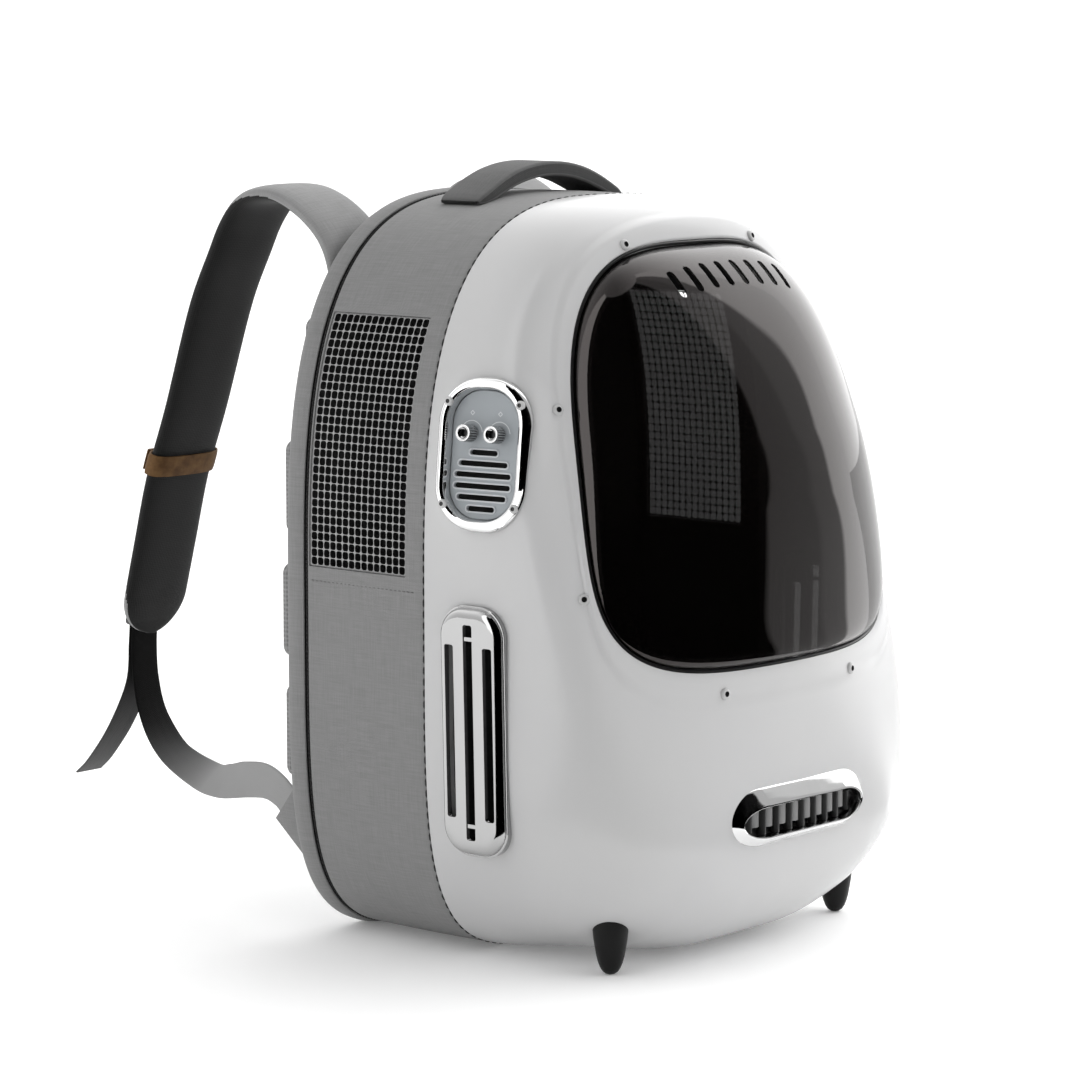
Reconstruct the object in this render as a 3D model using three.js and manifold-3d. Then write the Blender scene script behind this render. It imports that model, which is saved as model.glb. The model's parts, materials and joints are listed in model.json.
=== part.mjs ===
// Pet carrier backpack, in millimetres. +Z is up and the window faces -Y.
// The origin lies on the floor under the middle of the cloth side band.

import * as THREE from 'three';
import { mergeVertices } from 'three/addons/utils/BufferGeometryUtils.js';
import loadManifold from 'manifold-3d';

const wasm = await loadManifold();
wasm.setup();

// Clearance between pieces that touch
const GAP = 0.3;

// Points round every outline of the body
const AROUND = 60;

// Outlines seen from the front. above and below are the reaches from the middle height, and the powers
// set how square the corners are. taper narrows the form towards its top.
const BODY = {
  halfWidth: 155.6, middle: 209, above: 221, below: 212, powerAbove: 2.9, powerBelow: 4.65, taper: 0, floor: 0,
};
const WINDOW = {
  halfWidth: 123, middle: 287.5, above: 118.5, below: 118.5, powerAbove: 3.3, powerBelow: 4.5, taper: 0.139,
  floor: 0,
};

// Cloth side band, zip and padded back
const BAND = { front: -44.5, back: 44.5, wall: 2.5 };
const ZIP = { width: 4.5, wall: 3, proud: 0.8 };
const BACK = { thick: 11.5, proud: 2 };
const BACK_PROFILE = [
  { along: 0, outward: 0.5 },
  { along: 0.3, outward: 1 },
  { along: 0.8, outward: 0.8 },
  { along: 1, outward: -0.5 },
];
const PAD = { rise: 9, tall: 56, innerX: 20, corner: 7 };

// Rows of pads from the top down. The lowest row stands in from the rim to leave room for the tabs.
const PAD_ROWS = [
  { middle: 333, edge: 2 },
  { middle: 263, edge: 2 },
  { middle: 192, edge: 2 },
  { middle: 121, edge: 2 },
  { middle: 54, edge: 9 },
];

// Mesh panels let into both sides of the band
const MESH = { front: -30.5, back: 43, bottom: 220, top: 365, thick: 1.2 };

// Hard front shell. Its rim round the window lies on a leaning, slightly rolled face.
const SHELL = { wall: 3, chin: -214, chinBlend: 15 };
const RIM_FACE = { y: -187, z: 158, lean: 0.3037, roll: 0.0013 };
const SHELL_ROWS = 8;

// The underside climbs at the chin's two corners and dips between them
const CHIN = { corner: 8, middle: -4, back: 40, front: 110, inside: 30, outside: 110, low: 10, high: 100 };

// How square the shell's corner is, by the height of the seam point that it leads to
const SHELL_CORNERS = [
  { z: 0, power: 3.4 },
  { z: 15, power: 3 },
  { z: 110, power: 3 },
  { z: 200, power: 4.2 },
  { z: 280, power: 5.6 },
  { z: 350, power: 5.6 },
  { z: 405, power: 3.3 },
  { z: 430, power: 3 },
];

// Smoky window dome, its gasket and the slots near its top
const DOME = { wall: 2.5, riseTop: 45, riseBottom: 20, riseFrom: 168, riseTo: 300, power: 2.4 };
const DOME_ROWS = [0.985, 0.93, 0.8, 0.58, 0.28];
const GASKET = { width: 3, thick: 3, proud: 0.8 };
const DOME_SLOT = { count: 8, pitch: 13.7, width: 5, length: 19, z: 388, drop: 0.0021, lean: 0.72 };

// Screws on the window rim, as distances from the middle and heights
const WINDOW_SCREWS = [
  { name: 'top', x: 58, z: 405.5 },
  { name: 'upper', x: 127, z: 318 },
  { name: 'lower', x: 136, z: 216 },
  { name: 'bottom', x: 59, z: 158 },
];
const SCREW = { radius: 3.6, rise: 1.6 };

// Control panel on the left side
const PANEL = {
  y: -85.5, z: 293, forward: 0.13, upward: 0.12, sink: 1.5, width: 56, height: 84, corner: 25, ring: 6.5,
  rise: 4, plate: 2.5, recess: 1.8, hole: 1,
};
const KNOB = { x: 9.2, z: 11.5, radius: 5, teeth: 18, tooth: 0.4, rise: 7, dish: 1.2, shaft: 2 };
const PLATE_SLOT = { pitch: 6.25, height: 3, top: 1.2, lengths: [18.5, 32.5, 37.5, 37.5, 32.5, 18.5] };
const PANEL_SCREW = { x: 21.5, z: 28, radius: 2.6, rise: 1.2 };

// Oblong vents on both sides
const VENT = { y: -85.5, z: 138, width: 43.5, height: 142, corner: 16, rise: 7, bevel: 4, hole: 5 };
const VENT_SLOTS = [
  { across: -13, length: 98 },
  { across: 0, length: 122 },
  { across: 13, length: 98 },
];
const VENT_SLOT_WIDTH = 6.5;

// Oblong grille on the chin. drop is how far its opening lies below its middle.
const GRILLE = {
  z: 86, width: 127, height: 33.5, ring: 8.4, rise: 6, deep: 6, floor: -0.5, bars: 9, bar: 5.5, pitch: 11.5,
  barRise: 3, drop: 3,
};

// Feet under the chin
const FOOT = { x: 106, y: -139.5, tip: 6.5, body: 9, collar: 10.6, round: 4, collarZ: 21, height: 40 };

// Carry handle along the top, from its middle to one end
const HANDLE_Y = 8;
const HANDLE_HALF = [
  { x: 0, z: 445, width: 31, thick: 9 },
  { x: 21, z: 442.5, width: 31, thick: 9 },
  { x: 38, z: 437.2, width: 32, thick: 9 },
  { x: 52, z: 432.2, width: 32, thick: 9 },
  { x: 63.5, z: 428.9, width: 31, thick: 8.6 },
];

// Shoulder straps, from the root on the back panel over the top to the tip. The roots lie a little inward.
const STRAP_X = 95;
const STRAP = [
  { inward: 7, y: 64.6, z: 362, width: 46, thick: 6 },
  { inward: 7, y: 66.2, z: 385, width: 51, thick: 9 },
  { inward: 6, y: 73, z: 404, width: 51, thick: 11 },
  { inward: 4, y: 88, z: 419, width: 51, thick: 11 },
  { inward: 2, y: 106, z: 428, width: 51, thick: 11 },
  { y: 121, z: 429, width: 51, thick: 11 },
  { y: 135, z: 424, width: 51, thick: 11 },
  { y: 147, z: 411, width: 51, thick: 11 },
  { y: 157, z: 393, width: 51, thick: 11 },
  { y: 173.5, z: 360, width: 51, thick: 11 },
  { y: 194.5, z: 300, width: 51, thick: 10 },
  { y: 211.5, z: 256, width: 51, thick: 10 },
  { y: 223.5, z: 213, width: 51, thick: 10 },
  { y: 233.5, z: 176, width: 51, thick: 9 },
  { y: 237.5, z: 159, width: 43, thick: 6 },
  { y: 239.5, z: 150, width: 27, thick: 4 },
];
const STRAP_STEPS = 28;
const KEEPER = { start: 0.711, end: 0.731, clear: 0.8, thick: 1.4 };
const ADJUSTER = { width: 28, length: 20, thick: 3.4, bar: 4, side: 1.5, at: 0.93, off: 6.6, slide: 3 };

// Webbing below the strap. twist turns its width from across the bag to the slope of the tab.
const WEB = { width: 24, thick: 1.6 };
const WEBBING = [
  { x: 93, y: 245.2, z: 147.6, twist: 0 },
  { x: 93.5, y: 243.5, z: 126, twist: 0 },
  { x: 99, y: 231, z: 107, twist: 0.08 },
  { x: 111, y: 200, z: 90, twist: 0.4 },
  { x: 123, y: 162, z: 80, twist: 0.75 },
  { x: 130, y: 140, z: 80, twist: 0.95 },
  { x: 137, y: 115, z: 87, twist: 1 },
  { x: 142, y: 95, z: 88, twist: 1 },
  { x: 145, y: 81, z: 83.5, twist: 1 },
  { x: 145.8, y: 71.1, z: 77.5, twist: 1 },
];
const TAIL = [
  { x: 93, y: 247.6, z: 148, twist: 0 },
  { x: 94, y: 249.5, z: 124, twist: 0 },
  { x: 102, y: 257, z: 97, twist: 0 },
  { x: 113, y: 264, z: 77, twist: 0 },
  { x: 119, y: 269, z: 68.5, twist: 0 },
];
const TAB = {
  topX: 148, topY: 63, topZ: 88.5, tipX: 143.5, tipY: 78, tipZ: 66, footX: 138.7, footZ: 42, rootY: 61.4,
  thick: 2.2,
};

const LEFT = -1;
const RIGHT = 1;
const SIDES = [
  { name: 'left', sign: LEFT },
  { name: 'right', sign: RIGHT },
];

const backpack = new THREE.Group();

// Materials
function finish(color, roughness, metalness = 0) {
  return new THREE.MeshStandardMaterial({ color, roughness, metalness });
}

const GREY_CLOTH = finish(0x82807f, 0.9);
const DARK_CLOTH = finish(0x3a3a3d, 0.9);
const BLACK_TRIM = finish(0x17171a, 0.7);
const WHITE_SHELL = finish(0xd9dbdd, 0.2);
const SMOKY_CLEAR = finish(0x241d1a, 0.08);
const CHROME = finish(0xc9ccd0, 0.12, 1);
const PLATE_GREY = finish(0x9ba0a3, 0.45);
const RUBBER = finish(0x1e1e20, 0.8);
const LEATHER = finish(0x8b6946, 0.6);

function addPart(name, geometry, material) {
  const mesh = new THREE.Mesh(geometry, material);
  mesh.name = name;
  backpack.add(mesh);
  return mesh;
}

// Closed surfaces
function volumeOf(points, faces) {
  const cross = new THREE.Vector3();
  let volume = 0;
  for (const [a, b, c] of faces) {
    cross.crossVectors(points[b], points[c]);
    volume += points[a].dot(cross) / 6;
  }
  return volume;
}

function surface(points, faces) {
  const turned = volumeOf(points, faces) < 0;
  const ordered = turned ? faces.map(([a, b, c]) => [a, c, b]) : faces;
  const geometry = new THREE.BufferGeometry().setFromPoints(points);
  geometry.setIndex(ordered.flat());
  return geometry;
}

function wallFaces(loops, closed) {
  const count = loops[0].length;
  const walls = closed ? loops.length : loops.length - 1;
  const faces = [];
  for (let row = 0; row < walls; row += 1) {
    const lower = row * count;
    const upper = ((row + 1) % loops.length) * count;
    for (let i = 0; i < count; i += 1) {
      const next = (i + 1) % count;
      faces.push([lower + i, lower + next, upper + next]);
      faces.push([lower + i, upper + next, upper + i]);
    }
  }
  return faces;
}

// A ring: the last loop joins the first
function ring(loops) {
  return surface(loops.flat(), wallFaces(loops, true));
}

// A loft: both end loops are closed by a fan about their middle
function loft(loops) {
  const count = loops[0].length;
  const points = loops.flat();
  const faces = wallFaces(loops, false);
  const lastStart = (loops.length - 1) * count;
  const firstMiddle = points.length;
  const lastMiddle = firstMiddle + 1;
  points.push(middleOf(loops[0]), middleOf(loops.at(-1)));
  for (let i = 0; i < count; i += 1) {
    const next = (i + 1) % count;
    faces.push([firstMiddle, next, i]);
    faces.push([lastMiddle, lastStart + i, lastStart + next]);
  }
  return surface(points, faces);
}

function middleOf(loop) {
  const sum = new THREE.Vector3();
  for (const point of loop) {
    sum.add(point);
  }
  return sum.divideScalar(loop.length);
}

// Joins and cuts
function toSolid(geometry) {
  const bare = geometry.clone();
  bare.deleteAttribute('normal');
  bare.deleteAttribute('uv');
  const merged = mergeVertices(bare, 1e-4);
  const vertProperties = new Float32Array(merged.attributes.position.array);
  const triVerts = new Uint32Array(merged.index.array);
  return new wasm.Manifold(new wasm.Mesh({ numProp: 3, vertProperties, triVerts }));
}

function toGeometry(solid) {
  const mesh = solid.getMesh();
  const geometry = new THREE.BufferGeometry();
  geometry.setAttribute('position', new THREE.BufferAttribute(mesh.vertProperties, 3));
  geometry.setIndex(new THREE.BufferAttribute(mesh.triVerts, 1));
  return geometry;
}

function cut(geometry, tools) {
  let solid = toSolid(geometry);
  for (const tool of tools) {
    solid = solid.subtract(toSolid(tool));
  }
  return toGeometry(solid);
}

function join(geometries) {
  const [first, ...others] = geometries.map(toSolid);
  return toGeometry(others.reduce((whole, other) => whole.add(other), first));
}

// Outlines in the XZ plane, evenly spaced and clockwise from the top
function outlinePoint(form, angle) {
  const sine = Math.sin(angle);
  const cosine = Math.cos(angle);
  const power = sine >= 0 ? form.powerAbove : form.powerBelow;
  const height = sine >= 0 ? form.above : form.below;
  const reach = (Math.abs(cosine) ** power + Math.abs(sine) ** power) ** (-1 / power);
  const width = form.halfWidth * (1 - form.taper * reach * sine);
  return new THREE.Vector2(width * reach * cosine, Math.max(form.middle + height * reach * sine, form.floor));
}

function outline(form, inset = 0) {
  const fine = [];
  const fineSteps = 720;
  for (let i = 0; i <= fineSteps; i += 1) {
    fine.push(outlinePoint(form, Math.PI / 2 - (i / fineSteps) * Math.PI * 2));
  }
  const curve = new THREE.SplineCurve(fine);
  curve.arcLengthDivisions = fineSteps;
  const loop = curve.getSpacedPoints(AROUND).slice(0, AROUND);
  return loop.map((point, i) => {
    const along = loop[(i + 1) % AROUND].clone().sub(loop.at(i - 1)).normalize();
    return new THREE.Vector2(point.x + along.y * inset, Math.max(point.y - along.x * inset, form.floor));
  });
}

function atDepth(loop, y) {
  return loop.map((point) => new THREE.Vector3(point.x, y, point.y));
}

function halfWidthAt(loop, z) {
  const right = loop.filter((point) => point.x >= 0);
  const found = right.findIndex((point, i) => i > 0 && point.y <= z);
  const upper = right[found - 1];
  const lower = right[found];
  return THREE.MathUtils.mapLinear(z, upper.y, lower.y, upper.x, lower.x);
}

// Cloth body
function bandRing(front, back, outerInset, wall) {
  const outer = outline(BODY, outerInset);
  const inner = outline(BODY, outerInset + wall);
  return ring([atDepth(outer, front), atDepth(outer, back), atDepth(inner, back), atDepth(inner, front)]);
}

function meshOpening(sign) {
  const depth = MESH.back - MESH.front;
  const height = MESH.top - MESH.bottom;
  const reach = BODY.halfWidth;
  const box = new THREE.BoxGeometry(reach, depth, height);
  return box.translate(sign * reach, (MESH.front + MESH.back) / 2, (MESH.bottom + MESH.top) / 2);
}

function meshPanel(sign) {
  const steps = 8;
  const face = outline(BODY, (BAND.wall - MESH.thick) / 2);
  const loops = [];
  for (let i = 0; i <= steps; i += 1) {
    const z = THREE.MathUtils.lerp(MESH.bottom + GAP, MESH.top - GAP, i / steps);
    const outerX = sign * halfWidthAt(face, z);
    const innerX = outerX - sign * MESH.thick;
    loops.push([
      new THREE.Vector3(outerX, MESH.front + GAP, z),
      new THREE.Vector3(outerX, MESH.back - GAP, z),
      new THREE.Vector3(innerX, MESH.back - GAP, z),
      new THREE.Vector3(innerX, MESH.front + GAP, z),
    ]);
  }
  return loft(loops);
}

const zipFront = BAND.back + GAP;
const backFront = zipFront + ZIP.width + GAP;
const backRear = backFront + BACK.thick;

function backPanel() {
  const loops = BACK_PROFILE.map(({ along, outward }) => (
    atDepth(outline(BODY, -outward * BACK.proud), backFront + along * BACK.thick)
  ));
  return loft(loops);
}

function backPad(sign, { middle, edge }) {
  const rim = outline(BODY);
  const reach = Math.min(halfWidthAt(rim, middle + PAD.tall / 2), halfWidthAt(rim, middle - PAD.tall / 2));
  const outerX = reach - edge;
  const width = outerX - PAD.innerX;
  const shape = roundedRectangle(width, PAD.tall, PAD.corner);
  const loop = shape.getPoints(2).slice(0, -1);
  const centreX = sign * (PAD.innerX + width / 2);
  const levels = [
    { rise: 0, inset: 1 },
    { rise: 0.6, inset: 1 },
    { rise: 1, inset: 6 },
  ];
  const loops = levels.map(({ rise, inset }) => loop.map((point) => new THREE.Vector3(
    centreX + point.x * (1 - 2 * inset / width),
    backRear + GAP + rise * PAD.rise,
    middle + point.y * (1 - 2 * inset / PAD.tall),
  )));
  return loft(loops);
}

function roundedRectangle(width, height, corner) {
  const x = width / 2 - corner;
  const y = height / 2 - corner;
  const quarter = Math.PI / 2;
  const shape = new THREE.Shape();
  shape.absarc(x, y, corner, 0, quarter);
  shape.absarc(-x, y, corner, quarter, 2 * quarter);
  shape.absarc(-x, -y, corner, 2 * quarter, 3 * quarter);
  shape.absarc(x, -y, corner, 3 * quarter, 4 * quarter);
  shape.closePath();
  return shape;
}

// A bar with two half-round ends
function oblong(width, height) {
  const radius = Math.min(width, height) / 2;
  const x = width / 2 - radius;
  const y = height / 2 - radius;
  const start = width > height ? -Math.PI / 2 : 0;
  const shape = new THREE.Shape();
  shape.absarc(x, y, radius, start, start + Math.PI);
  shape.absarc(-x, -y, radius, start + Math.PI, start + 2 * Math.PI);
  shape.closePath();
  return shape;
}

// Hard shell
function rimFaceY(x, z) {
  return RIM_FACE.y + RIM_FACE.lean * (z - RIM_FACE.z) + RIM_FACE.roll * x * x;
}

function smoothMaximum(a, b, blend) {
  return (a + b + Math.hypot(a - b, blend)) / 2;
}

function cornerPower(z) {
  const next = Math.max(SHELL_CORNERS.findIndex((row) => row.z >= z), 1);
  const from = SHELL_CORNERS[next - 1];
  const to = SHELL_CORNERS[next];
  return THREE.MathUtils.mapLinear(z, from.z, to.z, from.power, to.power);
}

function chinHeight({ x, y, z }) {
  const aside = THREE.MathUtils.smoothstep(Math.abs(x), CHIN.inside, CHIN.outside);
  const lift = THREE.MathUtils.lerp(CHIN.middle, CHIN.corner, aside);
  const forward = THREE.MathUtils.smoothstep(-y, CHIN.back, CHIN.front);
  const low = 1 - THREE.MathUtils.smoothstep(z, CHIN.low, CHIN.high);
  return Math.max(z + lift * forward * low, BODY.floor);
}

// Rows of points from the window rim to the cloth seam. Each line across is a square-cornered arc.
function shellRows(offset) {
  const seam = outline(BODY);
  const rim = outline(WINDOW);
  const seamY = BAND.front - GAP;
  const rows = [];
  for (let row = 0; row <= SHELL_ROWS; row += 1) {
    const angle = (row / SHELL_ROWS) * Math.PI / 2;
    rows.push(seam.map((end, i) => {
      const power = cornerPower(end.y);
      const reach = (Math.cos(angle) ** power + Math.sin(angle) ** power) ** (-1 / power);
      const toRim = reach * Math.cos(angle);
      const toSeam = reach * Math.sin(angle);
      const start = new THREE.Vector3(rim[i].x, rimFaceY(rim[i].x, rim[i].y), rim[i].y);
      const cornerY = smoothMaximum(rimFaceY(end.x, end.y), SHELL.chin, SHELL.chinBlend);
      const corner = new THREE.Vector3(end.x, cornerY, end.y);
      const finishPoint = new THREE.Vector3(end.x, seamY, end.y);
      const heart = start.clone().add(finishPoint).sub(corner);
      const point = heart.clone();
      point.addScaledVector(start.sub(heart), toRim);
      point.addScaledVector(finishPoint.sub(heart), toSeam);
      return point.setZ(chinHeight(point));
    }));
  }
  const moved = rows.map((points, row) => points.map((point, i) => {
    const around = points[(i + 1) % AROUND].clone().sub(points.at(i - 1));
    const nextRow = rows[Math.min(row + 1, SHELL_ROWS)];
    const lastRow = rows[Math.max(row - 1, 0)];
    const across = nextRow[i].clone().sub(lastRow[i]);
    const outward = around.cross(across).normalize();
    return point.clone().addScaledVector(outward, offset);
  }));
  for (const point of moved.at(-1)) {
    point.y = seamY;
  }
  return moved;
}

const shellForm = new THREE.Mesh(loft(shellRows(GAP)), WHITE_SHELL);
const raycaster = new THREE.Raycaster();

function shellHit(from, direction) {
  raycaster.set(from, direction);
  return raycaster.intersectObject(shellForm)[0].point;
}

function sideHit(sign, y, z) {
  const far = sign * 2 * BODY.halfWidth;
  return shellHit(new THREE.Vector3(far, y, z), new THREE.Vector3(-sign, 0, 0));
}

function frontHit(x, z) {
  const far = 4 * SHELL.chin;
  return shellHit(new THREE.Vector3(x, far, z), new THREE.Vector3(0, 1, 0));
}

// A placing matrix: local +Z points along outward, and local +Y points up
function standingOn(point, outward) {
  const across = new THREE.Vector3(0, 0, 1).cross(outward).normalize();
  const up = outward.clone().cross(across);
  return new THREE.Matrix4().makeBasis(across, up, outward).setPosition(point);
}

function sideSeat(sign, y, z, width, height) {
  const reach = 0.35;
  const front = sideHit(sign, y - width * reach, z);
  const back = sideHit(sign, y + width * reach, z);
  const low = sideHit(sign, y, z - height * reach);
  const high = sideHit(sign, y, z + height * reach);
  const outward = high.clone().sub(low).cross(front.clone().sub(back)).normalize();
  outward.multiplyScalar(Math.sign(outward.x) * sign);
  return standingOn(sideHit(sign, y, z), outward);
}

// Extruded shapes with softened edges; the shape lies at local z = 0 and rises to rise
function raised(shape, below, rise, bevel) {
  const geometry = new THREE.ExtrudeGeometry(shape, {
    depth: below + rise - bevel,
    bevelEnabled: bevel > 0,
    bevelSize: bevel,
    bevelThickness: bevel,
    bevelOffset: -bevel,
    bevelSegments: 2,
    curveSegments: 4,
  });
  return geometry.translate(0, 0, -below);
}

function straight(shape, below, rise) {
  const geometry = new THREE.ExtrudeGeometry(shape, {
    depth: below + rise, bevelEnabled: false, curveSegments: 4,
  });
  return geometry.translate(0, 0, -below);
}

const DEEP = 14;

// Window
function domeRise(z) {
  const share = THREE.MathUtils.smoothstep(z, DOME.riseFrom, DOME.riseTo);
  return THREE.MathUtils.lerp(DOME.riseBottom, DOME.riseTop, share);
}

function domeLoop(edge, share, lower) {
  const swell = Math.sqrt(1 - share ** DOME.power);
  return edge.map((point) => {
    const x = point.x * share;
    const z = WINDOW.middle + (point.y - WINDOW.middle) * share;
    const rise = Math.max(domeRise(z) * swell - lower, 0);
    return new THREE.Vector3(x, rimFaceY(x, z) - rise, z);
  });
}

function windowDome() {
  const edgeInset = GASKET.width + 2 * GAP;
  const outerEdge = outline(WINDOW, edgeInset);
  const innerEdge = outline(WINDOW, edgeInset + DOME.wall);
  const shares = [1, ...DOME_ROWS];
  const inner = shares.map((share) => domeLoop(innerEdge, share, DOME.wall * (1 - share)));
  const outer = shares.map((share) => domeLoop(outerEdge, share, 0));
  return cut(loft([...inner.reverse(), ...outer]), domeSlots());
}

function domeSlots() {
  const capsule = oblong(DOME_SLOT.width, DOME_SLOT.length);
  const tools = [];
  for (let i = 0; i < DOME_SLOT.count; i += 1) {
    const x = (i - (DOME_SLOT.count - 1) / 2) * DOME_SLOT.pitch;
    const z = DOME_SLOT.z - DOME_SLOT.drop * x * x;
    const outward = new THREE.Vector3(0, -DOME_SLOT.lean, Math.sqrt(1 - DOME_SLOT.lean ** 2));
    const middle = new THREE.Vector3(x, rimFaceY(x, z) - domeRise(z) / 2, z);
    const tool = new THREE.ExtrudeGeometry(capsule, { depth: 2 * DEEP, bevelEnabled: false, curveSegments: 2 });
    tool.translate(0, 0, -DEEP);
    tools.push(tool.applyMatrix4(standingOn(middle, outward)));
  }
  return tools;
}

function windowGasket() {
  const outer = outline(WINDOW, GAP);
  const inner = outline(WINDOW, GAP + GASKET.width);
  const level = (loop, lift) => atDepth(loop, 0).map((point) => {
    point.y = rimFaceY(point.x, point.z);
    const outward = new THREE.Vector3(2 * RIM_FACE.roll * point.x, -1, RIM_FACE.lean).normalize();
    return point.addScaledVector(outward, lift);
  });
  const low = GASKET.proud - GASKET.thick;
  return ring([level(outer, low), level(outer, GASKET.proud), level(inner, GASKET.proud), level(inner, low)]);
}

function domedScrew(radius, rise, below = 0) {
  const profile = [
    new THREE.Vector2(0, -below),
    new THREE.Vector2(radius, -below),
    new THREE.Vector2(radius, rise * 0.3),
    new THREE.Vector2(radius * 0.6, rise),
    new THREE.Vector2(0, rise),
  ];
  return new THREE.LatheGeometry(profile, 8).rotateX(Math.PI / 2);
}

// A screw head on the window rim, square to the shell there
function windowScrew(x, z) {
  const reach = SCREW.radius;
  const right = frontHit(x + reach, z);
  const left = frontHit(x - reach, z);
  const high = frontHit(x, z + reach);
  const low = frontHit(x, z - reach);
  const outward = right.sub(left).cross(high.sub(low)).normalize();
  const head = domedScrew(SCREW.radius, SCREW.rise, SCREW.rise);
  return cut(head.applyMatrix4(standingOn(frontHit(x, z), outward)), [shellForm.geometry]);
}

// Control panel
const panelOutward = new THREE.Vector3(LEFT, -PANEL.forward, PANEL.upward).normalize();
const panelMiddle = sideHit(LEFT, PANEL.y, PANEL.z).addScaledVector(panelOutward, -PANEL.sink);
const panelSeat = standingOn(panelMiddle, panelOutward);
const panelInner = { width: PANEL.width - 2 * PANEL.ring, height: PANEL.height - 2 * PANEL.ring };
const panelInnerCorner = PANEL.corner - PANEL.ring;
const plateTop = PANEL.rise - PANEL.recess;

function oblongAt(x, y, width, height) {
  const points = oblong(width, height).getPoints(3).map((point) => new THREE.Vector2(point.x + x, point.y + y));
  return new THREE.Path(points);
}

function controlBezel() {
  const shape = roundedRectangle(PANEL.width, PANEL.height, PANEL.corner);
  shape.holes.push(roundedRectangle(panelInner.width, panelInner.height, panelInnerCorner));
  return cut(raised(shape, DEEP, PANEL.rise, 1.6).applyMatrix4(panelSeat), [shellForm.geometry]);
}

function controlPlate() {
  const clear = 2 * GAP;
  const shape = roundedRectangle(panelInner.width - clear, panelInner.height - clear, panelInnerCorner - GAP);
  for (const side of [-1, 1]) {
    const bore = new THREE.Path().absarc(side * KNOB.x, KNOB.z, KNOB.shaft + GAP, 0, Math.PI * 2, true);
    shape.holes.push(bore);
  }
  PLATE_SLOT.lengths.forEach((length, i) => {
    const z = PLATE_SLOT.top - i * PLATE_SLOT.pitch;
    shape.holes.push(oblongAt(0, z, length, PLATE_SLOT.height));
  });
  return straight(shape, PANEL.plate - plateTop, plateTop).applyMatrix4(panelSeat);
}

// A knurled knob with a dished end on a short shaft, standing on the plate
function controlKnob() {
  const corners = [];
  const edges = 2 * KNOB.teeth;
  for (let i = 0; i < edges; i += 1) {
    const radius = KNOB.radius - (i % 2) * KNOB.tooth;
    const angle = (i / edges) * Math.PI * 2;
    corners.push(new THREE.Vector2(radius * Math.cos(angle), radius * Math.sin(angle)));
  }
  const shape = new THREE.Shape(corners);
  const barrel = new THREE.ExtrudeGeometry(shape, { depth: KNOB.rise, bevelEnabled: false });
  barrel.translate(0, 0, plateTop + GAP);
  const shaftLength = PANEL.plate + 2 * GAP;
  const shaft = new THREE.CylinderGeometry(KNOB.shaft, KNOB.shaft, shaftLength, 14).rotateX(Math.PI / 2);
  shaft.translate(0, 0, plateTop + 2 * GAP - shaftLength / 2);
  const dish = new THREE.SphereGeometry(KNOB.radius * 1.6, 16, 8);
  dish.translate(0, 0, plateTop + GAP + KNOB.rise - KNOB.dish + KNOB.radius * 1.6);
  return cut(join([barrel, shaft]), [dish]);
}

// Side vents
function ventPlate(sign) {
  const seat = sideSeat(sign, VENT.y, VENT.z, VENT.width, VENT.height);
  const shape = roundedRectangle(VENT.width, VENT.height, VENT.corner);
  const slots = VENT_SLOTS.map(({ across, length }) => (
    straight(oblong(VENT_SLOT_WIDTH, length), DEEP, DEEP).translate(across, 0, 0).applyMatrix4(seat)
  ));
  return cut(raised(shape, DEEP, VENT.rise, VENT.bevel).applyMatrix4(seat), [shellForm.geometry, ...slots]);
}

function ventHole(sign) {
  const seat = sideSeat(sign, VENT.y, VENT.z, VENT.width, VENT.height);
  const width = VENT.width - 2 * VENT.hole;
  const shape = roundedRectangle(width, VENT.height - 2 * VENT.hole, VENT.corner - VENT.hole);
  return straight(shape, DEEP, DEEP).applyMatrix4(seat);
}

function panelHole() {
  const grow = 2 * PANEL.hole;
  const width = panelInner.width + grow;
  const height = panelInner.height + grow;
  const shape = roundedRectangle(width, height, panelInnerCorner + PANEL.hole);
  return straight(shape, DEEP, DEEP).applyMatrix4(panelSeat);
}

// Chin grille, rolled to the curve of the chin
const grilleSeat = standingOn(frontHit(0, GRILLE.z), new THREE.Vector3(0, -1, 0));

function oblongLoop(width, height, z, drop = 0) {
  const shape = oblong(width, height);
  return shape.getSpacedPoints(36).slice(0, -1).map((point) => new THREE.Vector3(point.x, point.y - drop, z));
}

function rolled(geometry) {
  const place = geometry.attributes.position;
  const point = new THREE.Vector3();
  for (let i = 0; i < place.count; i += 1) {
    point.fromBufferAttribute(place, i);
    place.setZ(i, point.z - RIM_FACE.roll * point.x * point.x);
  }
  return geometry.applyMatrix4(grilleSeat);
}

const grilleInner = { width: GRILLE.width - 2 * GRILLE.ring, height: GRILLE.height - 2 * GRILLE.ring };

function grilleFrame() {
  const { width, height, rise, drop } = GRILLE;
  const inner = grilleInner;
  const loops = [
    oblongLoop(width, height, -DEEP),
    oblongLoop(width, height, rise * 0.2),
    oblongLoop(width - 5, height - 5, rise * 0.7, drop * 0.3),
    oblongLoop(inner.width + 4, inner.height + 4, rise, drop * 0.76),
    oblongLoop(inner.width, inner.height, rise * 0.9, drop),
    oblongLoop(inner.width, inner.height, -DEEP, drop),
  ];
  return cut(rolled(ring(loops)), [shellForm.geometry]);
}

function grilleHole() {
  const width = grilleInner.width + 2 * GAP;
  const height = grilleInner.height + 2 * GAP;
  const { drop } = GRILLE;
  return rolled(loft([oblongLoop(width, height, -DEEP, drop), oblongLoop(width, height, DEEP, drop)]));
}

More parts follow.
